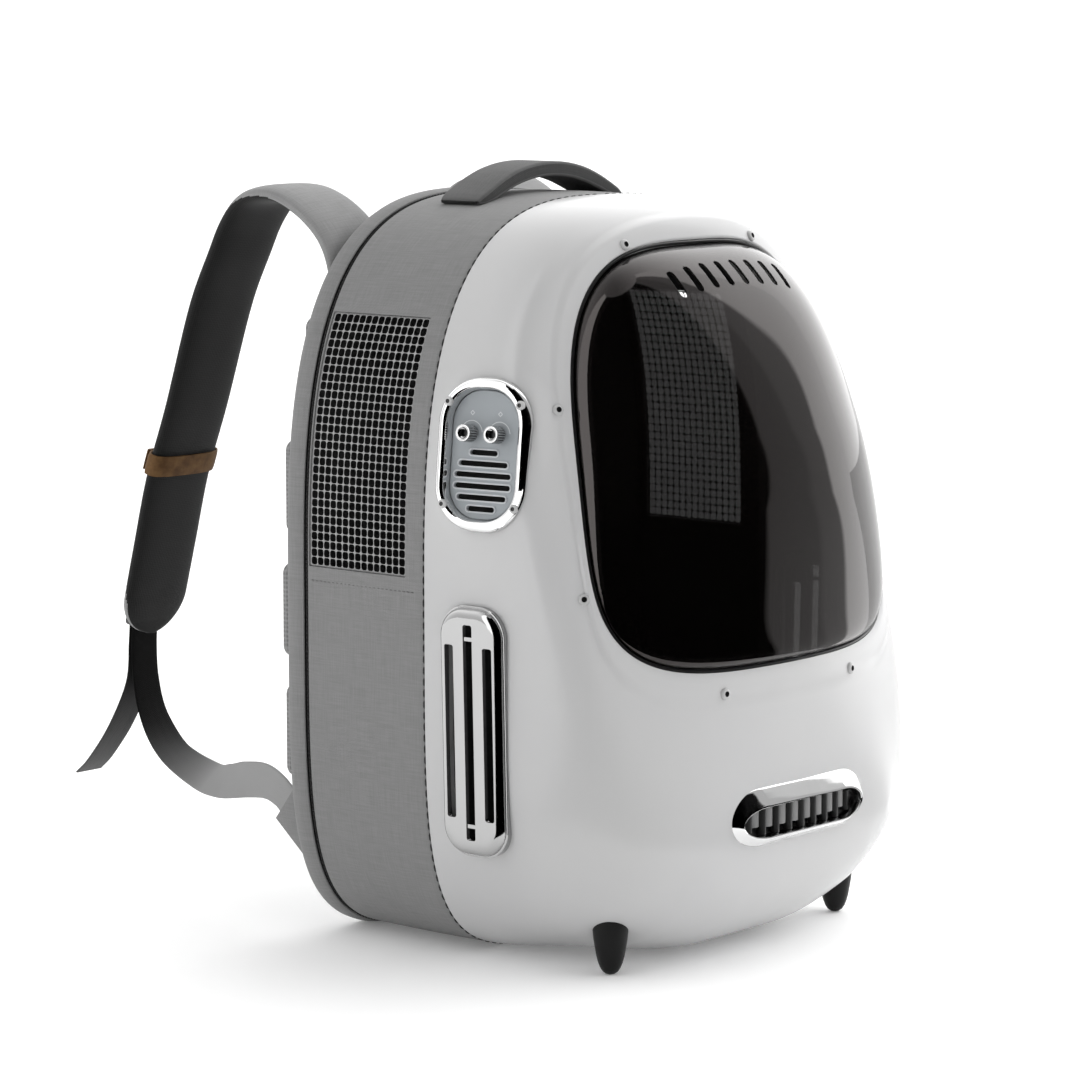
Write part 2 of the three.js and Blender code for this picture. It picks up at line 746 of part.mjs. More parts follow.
function grilleBars() {
  const width = grilleInner.width - 2 * GAP;
  const height = grilleInner.height - 2 * GAP;
  const back = -GRILLE.deep;
  const { floor, drop } = GRILLE;
  const plate = rolled(loft([oblongLoop(width, height, back, drop), oblongLoop(width, height, floor, drop)]));
  const bars = [];
  for (let i = 0; i < GRILLE.bars; i += 1) {
    const x = (i - (GRILLE.bars - 1) / 2) * GRILLE.pitch;
    const fromEnd = Math.max(Math.abs(x) + GRILLE.bar / 2 - (width - height) / 2, 0);
    const halfTall = Math.sqrt((height / 2) ** 2 - fromEnd ** 2) - GAP;
    const bar = new THREE.BoxGeometry(GRILLE.bar, 2 * halfTall, GRILLE.barRise - back - 1);
    bar.translate(x, -drop, (GRILLE.barRise + back + 1) / 2);
    bars.push(rolled(bar));
  }
  return join([plate, ...bars]);
}

// Feet
function foot(sign) {
  const profile = [
    new THREE.Vector2(0, 0),
    new THREE.Vector2(FOOT.tip - FOOT.round, 0),
    new THREE.Vector2(FOOT.tip, FOOT.round),
    new THREE.Vector2(FOOT.body, FOOT.collarZ - FOOT.round),
    new THREE.Vector2(FOOT.collar, FOOT.collarZ),
    new THREE.Vector2(FOOT.collar, FOOT.height),
    new THREE.Vector2(0, FOOT.height),
  ];
  const cone = new THREE.LatheGeometry(profile, 16).rotateX(Math.PI / 2);
  return cut(cone.translate(sign * FOOT.x, FOOT.y, 0), [shellForm.geometry]);
}

// Straps, webbing and handle are sections carried along a path
function columnAt(rows, column, share) {
  const place = share * (rows.length - 1);
  const row = Math.min(Math.floor(place), rows.length - 2);
  return THREE.MathUtils.lerp(rows[row][column], rows[row + 1][column], place - row);
}

function pathOf(rows, toPoint) {
  return new THREE.CatmullRomCurve3(rows.map(toPoint), false, 'catmullrom', 0.5);
}

function roundSection(width, thick, count) {
  const power = 2.8;
  const points = [];
  for (let i = 0; i < count; i += 1) {
    const angle = ((i + 0.5) / count) * Math.PI * 2;
    const cosine = Math.cos(angle);
    const sine = Math.sin(angle);
    const reach = (Math.abs(cosine) ** power + Math.abs(sine) ** power) ** (-1 / power);
    points.push(new THREE.Vector2(reach * cosine * width / 2, reach * sine * thick / 2));
  }
  return points;
}

function flatSection(width, thick) {
  const x = width / 2;
  const y = thick / 2;
  const corners = [[x, -y], [x, y], [-x, y], [-x, -y]];
  return corners.map(([across, up]) => new THREE.Vector2(across, up));
}

// One loop of a section at share of the path, with its width along the given direction
function sectionLoop(path, share, widthWay, section) {
  const middle = path.getPoint(share);
  const along = path.getTangent(share);
  const wide = widthWay.clone().addScaledVector(along, -widthWay.dot(along)).normalize();
  const thickWay = along.clone().cross(wide);
  return section.map((point) => (
    middle.clone().addScaledVector(wide, point.x).addScaledVector(thickWay, point.y)
  ));
}

// The same piece on the other side of the bag
function mirrored(geometry) {
  const place = geometry.attributes.position;
  const points = [];
  for (let i = 0; i < place.count; i += 1) {
    const point = new THREE.Vector3().fromBufferAttribute(place, i);
    points.push(point.setX(-point.x));
  }
  const corners = geometry.index ? [...geometry.index.array] : points.map((_, i) => i);
  const faces = [];
  for (let i = 0; i < corners.length; i += 3) {
    faces.push(corners.slice(i, i + 3));
  }
  return surface(points, faces);
}

const ACROSS = new THREE.Vector3(1, 0, 0);
const DEPTHWAYS = new THREE.Vector3(0, 1, 0);
const STRAP_SECTION = 10;

const strapPath = pathOf(STRAP, ({ inward = 0, y, z }) => new THREE.Vector3(STRAP_X - inward, y, z));

function strapLoop(share, grow) {
  const width = columnAt(STRAP, 'width', share) + 2 * grow;
  const thick = columnAt(STRAP, 'thick', share) + 2 * grow;
  return sectionLoop(strapPath, share, ACROSS, roundSection(width, thick, STRAP_SECTION));
}

function strap() {
  const loops = [];
  for (let i = 0; i <= STRAP_STEPS; i += 1) {
    loops.push(strapLoop(i / STRAP_STEPS, 0));
  }
  return loft(loops);
}

function keeper() {
  const outside = KEEPER.clear + KEEPER.thick;
  const loops = [];
  const shares = [KEEPER.start, (KEEPER.start + KEEPER.end) / 2, KEEPER.end];
  for (const share of shares) {
    loops.push(strapLoop(share, outside));
  }
  for (const share of shares.reverse()) {
    loops.push(strapLoop(share, KEEPER.clear));
  }
  return ring(loops);
}

function boxAt(y, width, height) {
  const corners = flatSection(width, height).map((corner) => new THREE.Vector2(corner.x, corner.y + y));
  return new THREE.Path(corners);
}

function adjuster() {
  const along = strapPath.getTangent(ADJUSTER.at);
  const outward = along.clone().cross(ACROSS).normalize();
  outward.multiplyScalar(Math.sign(outward.y));
  const middle = strapPath.getPoint(ADJUSTER.at);
  middle.addScaledVector(outward, ADJUSTER.off).addScaledVector(along, ADJUSTER.slide);
  const shape = roundedRectangle(ADJUSTER.width, ADJUSTER.length, 3);
  const slotWidth = ADJUSTER.width - 2 * ADJUSTER.side;
  const slotHeight = (ADJUSTER.length - 3 * ADJUSTER.bar) / 2;
  for (const side of [-1, 1]) {
    shape.holes.push(boxAt(side * (slotHeight + ADJUSTER.bar) / 2, slotWidth, slotHeight));
  }
  return straight(shape, ADJUSTER.thick / 2, ADJUSTER.thick / 2).applyMatrix4(standingOn(middle, outward));
}

const tabEdge = new THREE.Vector3(TAB.tipX - TAB.topX, TAB.tipY - TAB.topY, TAB.tipZ - TAB.topZ).normalize();

function webbing(rows, steps) {
  const path = pathOf(rows, (row) => new THREE.Vector3(row.x, row.y, row.z));
  const loops = [];
  for (let i = 0; i <= steps; i += 1) {
    const share = i / steps;
    const turn = columnAt(rows, 'twist', share) * Math.PI / 2;
    const way = ACROSS.clone().multiplyScalar(Math.cos(turn)).addScaledVector(tabEdge, Math.sin(turn));
    loops.push(sectionLoop(path, share, way, flatSection(WEB.width, WEB.thick)));
  }
  return loft(loops);
}

function tab() {
  const corners = [
    new THREE.Vector3(TAB.topX, TAB.topY, TAB.topZ),
    new THREE.Vector3(TAB.tipX, TAB.tipY, TAB.tipZ),
    new THREE.Vector3(TAB.footX, TAB.rootY, TAB.footZ),
    new THREE.Vector3(TAB.topX, TAB.rootY, TAB.topZ),
  ];
  const face = (lift) => corners.map((corner) => corner.clone().addScaledVector(ACROSS, lift));
  return loft([face(-TAB.thick / 2), face(TAB.thick / 2)]);
}

function handle() {
  const otherHalf = HANDLE_HALF.slice(1).reverse().map((row) => ({ ...row, x: -row.x }));
  const rows = [...otherHalf, ...HANDLE_HALF];
  const path = pathOf(rows, (row) => new THREE.Vector3(row.x, HANDLE_Y, row.z));
  const steps = 16;
  const loops = [];
  for (let i = 0; i <= steps; i += 1) {
    const share = i / steps;
    const section = roundSection(columnAt(rows, 'width', share), columnAt(rows, 'thick', share), STRAP_SECTION);
    loops.push(sectionLoop(path, share, DEPTHWAYS, section));
  }
  return loft(loops);
}

// Assembly: cloth body
const bandWall = bandRing(BAND.front, BAND.back, 0, BAND.wall);
addPart('side_band', cut(bandWall, [meshOpening(LEFT), meshOpening(RIGHT)]), GREY_CLOTH);
addPart('zip_band', bandRing(zipFront, zipFront + ZIP.width, -ZIP.proud, ZIP.wall), BLACK_TRIM);
addPart('back_panel', backPanel(), GREY_CLOTH);
for (const { name, sign } of SIDES) {
  addPart(`mesh_${name}`, meshPanel(sign), BLACK_TRIM);
  PAD_ROWS.forEach((row, i) => addPart(`back_pad_${name}_${i + 1}`, backPad(sign, row), DARK_CLOTH));
}

// Assembly: hard front
const shellWall = ring([...shellRows(0), ...shellRows(-SHELL.wall).reverse()]);
const shellHoles = [panelHole(), ventHole(LEFT), ventHole(RIGHT), grilleHole()];
addPart('shell', cut(shellWall, shellHoles), WHITE_SHELL);
addPart('window', windowDome(), SMOKY_CLEAR);
addPart('window_gasket', windowGasket(), BLACK_TRIM);
for (const { name, sign } of SIDES) {
  for (const screw of WINDOW_SCREWS) {
    addPart(`window_screw_${screw.name}_${name}`, windowScrew(sign * screw.x, screw.z), CHROME);
  }
  addPart(`vent_${name}`, ventPlate(sign), CHROME);
  addPart(`foot_${name}`, foot(sign), RUBBER);
}
addPart('grille_frame', grilleFrame(), CHROME);
addPart('grille_bars', grilleBars(), RUBBER);

// Assembly: control panel
addPart('control_bezel', controlBezel(), CHROME);
addPart('control_plate', controlPlate(), PLATE_GREY);
const KNOBS = [
  { name: 'fan_knob', x: -KNOB.x },
  { name: 'light_knob', x: KNOB.x },
];
for (const { name, x } of KNOBS) {
  const knob = addPart(name, controlKnob(), CHROME);
  knob.applyMatrix4(new THREE.Matrix4().makeTranslation(x, KNOB.z, 0).premultiply(panelSeat));
}
for (const row of [-1, 1]) {
  for (const side of [-1, 1]) {
    const name = `control_screw_${row > 0 ? 'upper' : 'lower'}_${side > 0 ? 'front' : 'rear'}`;
    const head = addPart(name, domedScrew(PANEL_SCREW.radius, PANEL_SCREW.rise), CHROME);
    const place = new THREE.Matrix4().makeTranslation(
      side * PANEL_SCREW.x,
      row * PANEL_SCREW.z,
      PANEL.rise + GAP,
    );
    head.applyMatrix4(place.premultiply(panelSeat));
  }
}

// Assembly: handle, straps and webbing
addPart('handle', handle(), GREY_CLOTH);
const harness = [
  { piece: 'strap', geometry: strap(), material: GREY_CLOTH },
  { piece: 'keeper', geometry: keeper(), material: LEATHER },
  { piece: 'adjuster', geometry: adjuster(), material: BLACK_TRIM },
  { piece: 'webbing', geometry: webbing(WEBBING, 30), material: DARK_CLOTH },
  { piece: 'tail', geometry: webbing(TAIL, 12), material: DARK_CLOTH },
  { piece: 'tab', geometry: tab(), material: GREY_CLOTH },
];
for (const { piece, geometry, material } of harness) {
  addPart(`${piece}_right`, geometry, material);
  addPart(`${piece}_left`, mirrored(geometry), material);
}

export default backpack;
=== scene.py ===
"""Looks of the pet carrier backpack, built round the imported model.

Lengths are in millimetres until a mesh is made, and in metres from then on.
"""

import json
import math
from contextlib import contextmanager
from types import SimpleNamespace as Sizes

import bmesh
import bpy
import numpy as np
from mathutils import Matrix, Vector
from mathutils.bvhtree import BVHTree


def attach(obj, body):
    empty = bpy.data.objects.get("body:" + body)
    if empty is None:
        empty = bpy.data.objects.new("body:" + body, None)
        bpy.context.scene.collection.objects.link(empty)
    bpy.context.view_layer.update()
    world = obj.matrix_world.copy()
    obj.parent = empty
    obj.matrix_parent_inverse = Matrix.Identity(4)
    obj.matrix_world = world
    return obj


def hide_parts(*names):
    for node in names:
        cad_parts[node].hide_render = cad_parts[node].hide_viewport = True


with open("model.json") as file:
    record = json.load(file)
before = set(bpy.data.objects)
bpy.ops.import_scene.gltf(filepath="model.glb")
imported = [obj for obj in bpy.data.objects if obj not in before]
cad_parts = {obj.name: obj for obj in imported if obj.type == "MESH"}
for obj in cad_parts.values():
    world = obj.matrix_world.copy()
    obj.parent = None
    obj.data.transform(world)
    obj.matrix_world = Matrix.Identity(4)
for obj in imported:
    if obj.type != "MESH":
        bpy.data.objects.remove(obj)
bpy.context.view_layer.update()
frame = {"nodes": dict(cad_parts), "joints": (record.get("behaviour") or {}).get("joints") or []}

MM = 0.001
LEFT, RIGHT = -1, 1
SIDES = (("left", LEFT), ("right", RIGHT))

# Outlines seen from the front, as in the construction
BODY = Sizes(half_width=155.6, middle=209, above=221, below=212, power_above=2.9, power_below=4.65, taper=0)
WINDOW = Sizes(
    half_width=123, middle=287.5, above=118.5, below=118.5, power_above=3.3, power_below=4.5, taper=0.139,
)
FINE_STEPS = 1440
AROUND = 360

# Cloth body
BAND_FRONT, BAND_BACK, BAND_WALL = -44.5, 46.0, 2.5
ZIP_FRONT, ZIP_BACK = 44.8, 49.3
BACK_FRONT, BACK_REAR = 49.6, 61.1
MESH = Sizes(
    front=-30.5, back=44.2, bottom=220, top=365, columns=15, rows=30, hole=4.42, sink=0.9, rim=0.7, gap=0.3,
    thick=0.25, bevel=0.08,
)
PAD = Sizes(rise=9, tall=56, inner_x=20, corner=7)
PAD_ROWS = ((333, 2), (263, 2), (192, 2), (121, 2), (54, 9))

# Hard front
SHELL = Sizes(wall=3, chin=-214, blend=15, seam=-44.8)
SHELL_CORNERS = Sizes(
    z=(0, 15, 110, 200, 280, 350, 405, 430),
    power=(3.4, 3.0, 3.0, 4.2, 5.6, 5.6, 3.3, 3.0),
)
RIM_FACE = Sizes(y=-187, z=158, lean=0.3037, roll=0.0013)
CHIN = Sizes(corner=8, middle=-4, back=40, front=110, inside=30, outside=110, low=10, high=100)
FLANGE = Sizes(rise=1.9, start=12, end=20, lip=1.6, drop=0.9)
DOME = Sizes(wall=2.5, top=45, bottom=20, start=168, end=300, power=2.4, inset=2.4)
DOME_SLOT = Sizes(count=8, pitch=13.7, width=5, length=19, z=388, drop=0.0021, lean=0.72)
WINDOW_SCREW = Sizes(radius=3.3, rise=1.7)
WINDOW_SCREWS = (("top", 58, 405.5), ("upper", 127, 318), ("lower", 136, 216), ("bottom", 59, 158))
PANEL = Sizes(width=58.6, height=86.6, corner=26, ring=7.3, plate_top=0.4, plate_low=-1.6)
BOSS = Sizes(level=-3.5, reach=9, blend=2)
KNOB = Sizes(x=9.2, z=11.5, axis_height=5.526, radius=5, base=0.7, rise=8.8, teeth=20)
PLATE_SLOTS = Sizes(pitch=6.25, height=3, top=1.2, lengths=(18.5, 32.5, 37.5, 37.5, 32.5, 18.5))
PANEL_SCREW = Sizes(rear=-21.5, front=23.6, z=28.5, radius=2.6, rise=1.2)

# Rows of the bezel from its outer edge to its inner one: inset, how level the row is, and height
BEZEL = (
    (0, 0, -1.5), (0, 0, 0.8), (0.3, 0.1, 2.0), (0.7, 0.35, 3.2), (1.3, 0.7, 4.0), (2.2, 0.95, 4.6),
    (3.4, 1, 5.0), (4.6, 1, 5.1), (5.6, 1, 4.9), (6.2, 1, 4.4), (6.6, 1, 3.6), (7.5, 1, 0.2), (7.5, 1, -2),
)

# The bezel's lip stands lower towards the front, where the shell falls away
BEZEL_SLOPE = -0.07

# Rims of the plate's slots: inset from the slot's edge, and height over the plate. They are painted paler
# than the plate as a painted highlight.
SLOT_RIM = ((0.02, -0.6), (0.02, 0.5), (-0.35, 0.75), (-0.8, 0.5), (-0.95, -0.6))
VENT = Sizes(y=-82.5, z=138, width=46, height=142, corner=17.5, rise=5.8, wall=2.4)
VENT_SLOTS = ((-13.8, 98), (0, 122), (13.8, 98))
VENT_SLOT_WIDTH = 6.5
GRILLE = Sizes(z=86, width=127, height=33.5, ring=8.4, bars=9, bar=5.2, pitch=11.5, drop=2.6, ends=(27, 21))
FOOT = Sizes(x=106, y=-139.5)

# Handle, straps and webbing, as rows along each path
HANDLE_Y = 8
HANDLE_HALF = (
    (0, 443.9, 31, 8.6), (15, 442.9, 31, 8.6), (30, 439.8, 31, 8.6), (43, 435.2, 31.5, 8.2),
    (53, 430.8, 32, 7.4), (60, 428, 31.5, 6), (64, 426.6, 30, 3.8), (65.5, 426.1, 28, 1.4),
)
STRAP_X = (88, 88, 89, 91, 93) + (95,) * 11
STRAP = (
    (64.6, 362, 46, 6), (66.2, 385, 51, 9), (73, 404, 51, 11), (88, 419, 51, 11), (106, 428, 51, 11),
    (121, 429, 51, 11), (135, 424, 51, 11), (147, 411, 51, 11), (157, 393, 51, 11), (173.5, 360, 51, 11),
    (194.5, 300, 51, 10), (211.5, 256, 51, 10), (223.5, 213, 51, 10), (233.5, 176, 51, 9),
    (236.9, 162, 43, 6), (238.3, 155.5, 27, 4),
)
STRAP_COUNT, STRAP_WIDTH, STRAP_THINNEST, STRAP_POWER = 60, 51, 6.5, 2.8

# The strap's lining keeps off its edges at the root and the tip: shares of the strap, distances to the tip,
# and degrees that it spills over the edge
STRAP_BEND = (0.28, 0.44)
BARE_TIP = (22, 36)
LINING_SPILL = (-22, 20)
KEEPER = Sizes(start=0.711, end=0.731, clear=0.8, thick=1.4, power=2.9, flap_inset=0.0006)
BUCKLE_RISE = (0, -2.7, 12)
WEB = Sizes(width=21.5, thick=1.6)
WEBBING = (
    (93, 243.6, 166, 0), (93, 245.2, 147.6, 0), (93.5, 243.5, 126, 0), (98.5, 232, 105.5, 0.03),
    (110.5, 203, 87.5, 0.2), (122, 164, 78.5, 0.55), (130, 140, 79, 0.85), (137, 115, 84, 1),
    (142, 94, 86.5, 1), (145, 80, 83.5, 1), (145.8, 71.1, 77.5, 1),
)
TAIL = (
    (93, 246.2, 166, 0), (93, 247.6, 148, 0), (94, 249.5, 124, 0), (102, 257, 97, 0), (113, 264, 77, 0),
    (119, 269, 68.5, 0),
)
TAB = Sizes(x=148, lean=0.2, thick=2.2, top_y=63, top_z=88.5, tip_y=83.5, tip_z=66, root_y=61.4, foot_z=42)

ACROSS = np.array((1.0, 0.0, 0.0))
DEPTHWAYS = np.array((0.0, 1.0, 0.0))
UPWARDS = np.array((0.0, 0.0, 1.0))


# Small shape sums
def unit(vectors):
    vectors = np.asarray(vectors, float)
    return vectors / np.maximum(np.linalg.norm(vectors, axis=-1, keepdims=True), 1e-9)


def smooth(value, low, high):
    share = np.clip((np.asarray(value, float) - low) / (high - low), 0, 1)
    return share * share * (3 - 2 * share)


def squared_reach(turn, power):
    """How far a circle with squared-off sides reaches at each angle."""
    return (np.abs(np.cos(turn)) ** power + np.abs(np.sin(turn)) ** power) ** (-1 / power)


def running(steps):
    """How far along a path each of its points lies, from the steps between them."""
    return np.concatenate([[0], np.cumsum(steps)])


def outline(form, count, inset=0.0):
    """Evenly spaced x and z of a form, clockwise from its top and never below the floor."""
    turn = np.pi / 2 - np.linspace(0, 2 * np.pi, FINE_STEPS + 1)
    sine, cosine = np.sin(turn), np.cos(turn)
    power = np.where(sine >= 0, form.power_above, form.power_below)
    height = np.where(sine >= 0, form.above, form.below)
    reach = squared_reach(turn, power)
    x = form.half_width * (1 - form.taper * reach * sine) * reach * cosine
    z = np.maximum(form.middle + height * reach * sine, 0)
    way = running(np.hypot(np.diff(x), np.diff(z)))
    places = np.arange(count) / count * way[-1]
    loop = np.stack([np.interp(places, way, x), np.interp(places, way, z)], 1)
    along = unit(np.roll(loop, -1, 0) - np.roll(loop, 1, 0))
    moved = loop + inset * np.stack([along[:, 1], -along[:, 0]], 1)
    moved[:, 1] = np.maximum(moved[:, 1], 0)
    return moved


def joined(x, y, z):
    """Points from three rows of numbers, where one number may stand for a whole row."""
    return np.stack(np.broadcast_arrays(x, y, z), -1).astype(float)


def at_depth(loop, y):
    return joined(loop[:, 0], y, loop[:, 1])


def body_loop(inset, depth):
    """The cloth body's outline moved inwards, at a depth."""
    return at_depth(outline(BODY, AROUND, inset), depth)


def half_width_at(z):
    right = outline(BODY, AROUND)[: AROUND // 2 + 1]
    return np.interp(z, right[::-1, 1], right[::-1, 0])


def rounded_rectangle(width, height, corner, steps=12):
    """Points of a rounded rectangle, against the clock from its right side."""
    points = []
    for quarter, (sx, sy) in enumerate(((1, 1), (-1, 1), (-1, -1), (1, -1))):
        for i in range(steps + 1):
            angle = (quarter + i / steps) * math.pi / 2
            x = sx * (width / 2 - corner) + corner * math.cos(angle)
            y = sy * (height / 2 - corner) + corner * math.sin(angle)
            points.append((x, y))
    return np.array(points)


def oblong(width, height, steps=16):
    """Points of a bar with two half-round ends, evenly met on its straights."""
    radius = min(width, height) / 2 - 1e-4
    return rounded_rectangle(width, height, radius, steps)


def lifted(loop, height):
    return joined(loop[:, 0], loop[:, 1], height)


def standing_on(point, outward):
    """A placing matrix: its third axis points along outward and its second axis points up."""
    outward = unit(outward)
    across = unit(np.cross(UPWARDS, outward))
    matrix = np.eye(4)
    matrix[:3, 0], matrix[:3, 1] = across, np.cross(outward, across)
    matrix[:3, 2], matrix[:3, 3] = outward, point
    return matrix


def placed(points, matrix):
    points = np.asarray(points, float)
    return points @ matrix[:3, :3].T + matrix[:3, 3]


def raised(loop, level, matrix):
    """A flat loop at a level over a seat."""
    return placed(lifted(loop, level), matrix)


class Form:
    """Points, faces, flat positions and material numbers of one piece while it is put together."""

    def __init__(self):
        self.points, self.faces, self.flat, self.kinds = [], [], [], []

    def table(self, table, close_rows=False, close_columns=True, kind=0):
        """Quads over a table of points. kind is one number, or one number for each row of quads."""
        table = np.asarray(table, float)
        rows, columns = table.shape[:2]
        start = len(self.points)
        self.points.extend(table.reshape(-1, 3))
        tall = np.concatenate([table, table[:1]], 0)
        wide = np.concatenate([table, table[:, :1]], 1)
        v = running(np.linalg.norm(np.diff(tall, axis=0), axis=2).mean(1))
        u = running(np.linalg.norm(np.diff(wide, axis=1), axis=2).mean(0))
        for r in range(rows if close_rows else rows - 1):
            for c in range(columns if close_columns else columns - 1):
                here, below = start + r * columns, start + (r + 1) % rows * columns
                beside = (c + 1) % columns
                self.faces.append((here + c, here + beside, below + beside, below + c))
                self.flat.append(((u[c], v[r]), (u[c + 1], v[r]), (u[c + 1], v[r + 1]), (u[c], v[r + 1])))
                self.kinds.append(kind if np.isscalar(kind) else kind[r])
        return start

    def ring(self, loops, kind=0):
        self.table(loops, close_rows=True, kind=kind)
        return self

    def loft(self, loops, kind=0):
        """A closed form whose two end loops are filled."""
        loops = np.asarray(loops, float)
        start = self.table(loops, kind=kind)
        count = loops.shape[1]
        last = start + (len(loops) - 1) * count
        ends = [tuple(range(count))[::-1], tuple(range(count))]
        end_kinds = (kind, kind) if np.isscalar(kind) else (kind[0], kind[-1])
        for loop, first, face, end_kind in zip((loops[0], loops[-1]), (start, last), ends, end_kinds):
            axes = np.argsort(np.ptp(loop, axis=0))[1:]
            self.faces.append(tuple(first + i for i in face))
            self.flat.append([tuple(loop[i][axes]) for i in face])
            self.kinds.append(end_kind)
        return self


@contextmanager
def opened(mesh):
    """A mesh opened for changes, which it keeps at the end."""
    shape = bmesh.new()
    shape.from_mesh(mesh)
    yield shape
    shape.to_mesh(mesh)
    shape.free()


def new_mesh(name, form, mirror=False):
    mesh = bpy.data.meshes.new(name)
    points = np.asarray(form.points, float) * MM
    if mirror:
        points[:, 0] *= -1
    mesh.from_pydata(points.tolist(), [], form.faces)
    layer = mesh.uv_layers.new(name="UVMap")
    layer.data.foreach_set("uv", np.array([uv for face in form.flat for uv in face], float).ravel())
    mesh.polygons.foreach_set("material_index", form.kinds)
    with opened(mesh) as shape:
        bmesh.ops.recalc_face_normals(shape, faces=shape.faces)
    return mesh


def soften(mesh, sharp):
    mesh.shade_smooth()
    mesh.set_sharp_from_angle(angle=math.radians(sharp))


def linked(name, data):
    """A new object in the scene."""
    made = bpy.data.objects.new(name, data)
    bpy.context.scene.collection.objects.link(made)
    return made


def piece(name, form, materials, replaces=(), body="bag", mirror=False, sharp=40):
    """A named piece of the object that rides on a body of the construction."""
    mesh = new_mesh(name, form, mirror)
    soften(mesh, sharp)
    made = linked(name, mesh)
    for material in materials:
        mesh.materials.append(material)
    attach(made, body)
    if replaces:
        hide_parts(*replaces)
    return made


def carve(made, tool_form, sharp=40):
    """Cuts one closed form, or several apart from each other, out of a piece."""
    tool = linked("tool", new_mesh("tool", tool_form))
    cut = made.modifiers.new("cut", "BOOLEAN")
    cut.operation, cut.solver, cut.object = "DIFFERENCE", "EXACT", tool
    bpy.context.view_layer.update()
    shown = made.evaluated_get(bpy.context.evaluated_depsgraph_get())
    mesh = bpy.data.meshes.new_from_object(shown)
    made.modifiers.clear()
    made.data = mesh
    soften(mesh, sharp)
    bpy.data.objects.remove(tool)


def prism(form, loop, low, high, matrix):
    form.loft([raised(loop, level, matrix) for level in (low, high)])


def lathe(profile, matrix, columns=40, kinds=0, teeth=0, depth=0.0, toothed=()):
    """A turned form from rows of radius and height. toothed names the rows that carry knurls."""
    angle = np.arange(columns) / columns * 2 * np.pi
    loops = []
    for row, (radius, height) in enumerate(profile):
        wave = depth * (0.5 + 0.5 * np.cos(teeth * angle)) if row in toothed else 0
        reach = np.maximum(radius - wave, 0.02)
        loops.append(placed(joined(reach * np.cos(angle), reach * np.sin(angle), height), matrix))
    return Form().loft(loops, kinds)


# Materials
def opaque(colour):
    """A colour, or one grey level, with full cover."""
    return (*np.broadcast_to(colour, 3), 1.0)


class Nodes:
    """A node tree, with short ways to add nodes and join them."""

    def __init__(self, tree):
        self.tree = tree

    def add(self, kind, inputs=(), **settings):
        node = self.tree.nodes.new(kind)
        for name, value in settings.items():
            setattr(node, name, value)
        for name, value in dict(inputs).items():
            if isinstance(value, bpy.types.NodeSocket):
                self.tree.links.new(value, node.inputs[name])
            else:
                node.inputs[name].default_value = value
        return node

    def maths(self, operation, first, second=0.0):
        return self.add("ShaderNodeMath", {0: first, 1: second}, operation=operation).outputs[0]

    def flat_place(self, scale=(1, 1, 1)):
        """Positions on the cut cloth, in millimetres."""
        place = self.add("ShaderNodeUVMap", uv_map="UVMap").outputs[0]
        return self.add("ShaderNodeMapping", {"Vector": place, "Scale": scale}).outputs[0]

    def solid_place(self):
        return self.add("ShaderNodeTexCoord").outputs["Object"]

    def noise(self, place, scale, detail=3.0, roughness=0.6):
        inputs = {"Vector": place, "Scale": scale, "Detail": detail, "Roughness": roughness}
        return self.add("ShaderNodeTexNoise", inputs).outputs["Fac"]

    def spread(self, value, low, high, to_low, to_high, interpolation="LINEAR"):
        inputs = {0: value, 1: low, 2: high, 3: to_low, 4: to_high}
        return self.add("ShaderNodeMapRange", inputs, interpolation_type=interpolation).outputs[0]

    def between(self, share, dark, light):
        inputs = {0: share, 6: opaque(dark), 7: opaque(light)}
        return self.add("ShaderNodeMix", inputs, data_type="RGBA").outputs[2]


class Finish(Nodes):
    """A material with one shader."""

    def __init__(self, name, colour, roughness, metallic=0.0, **sockets):
        self.material = bpy.data.materials.new(name)
        self.material.use_nodes = True
        super().__init__(self.material.node_tree)
        self.shader = self.tree.nodes["Principled BSDF"]
        self.set("Base Color", opaque(colour))
        self.set("Roughness", roughness)
        self.set("Metallic", metallic)
        for socket, value in sockets.items():
            self.set(socket.replace("_", " "), value)

    def set(self, socket, value):
        self.shader.inputs[socket].default_value = value

    def join(self, source, socket):
        self.tree.links.new(source, self.shader.inputs[socket])

    def colour(self, share, dark, light):
        self.join(self.between(share, dark, light), "Base Color")

    def gloss(self, *value_and_range):
        self.join(self.spread(*value_and_range), "Roughness")

    def bump(self, height, strength, distance):
        inputs = {"Height": height, "Strength": strength, "Distance": distance}
        self.join(self.add("ShaderNodeBump", inputs).outputs[0], "Normal")


def weave(finish, pitch):
    """Height of a plain weave: threads that pass over and under each other."""
    split = finish.add("ShaderNodeSeparateXYZ", {0: finish.flat_place()})
    turns = 2 * math.pi / pitch
    over = finish.maths("SINE", finish.maths("MULTIPLY", split.outputs[0], turns))
    under = finish.maths("SINE", finish.maths("MULTIPLY", split.outputs[1], turns))
    return finish.maths("MULTIPLY", over, under)


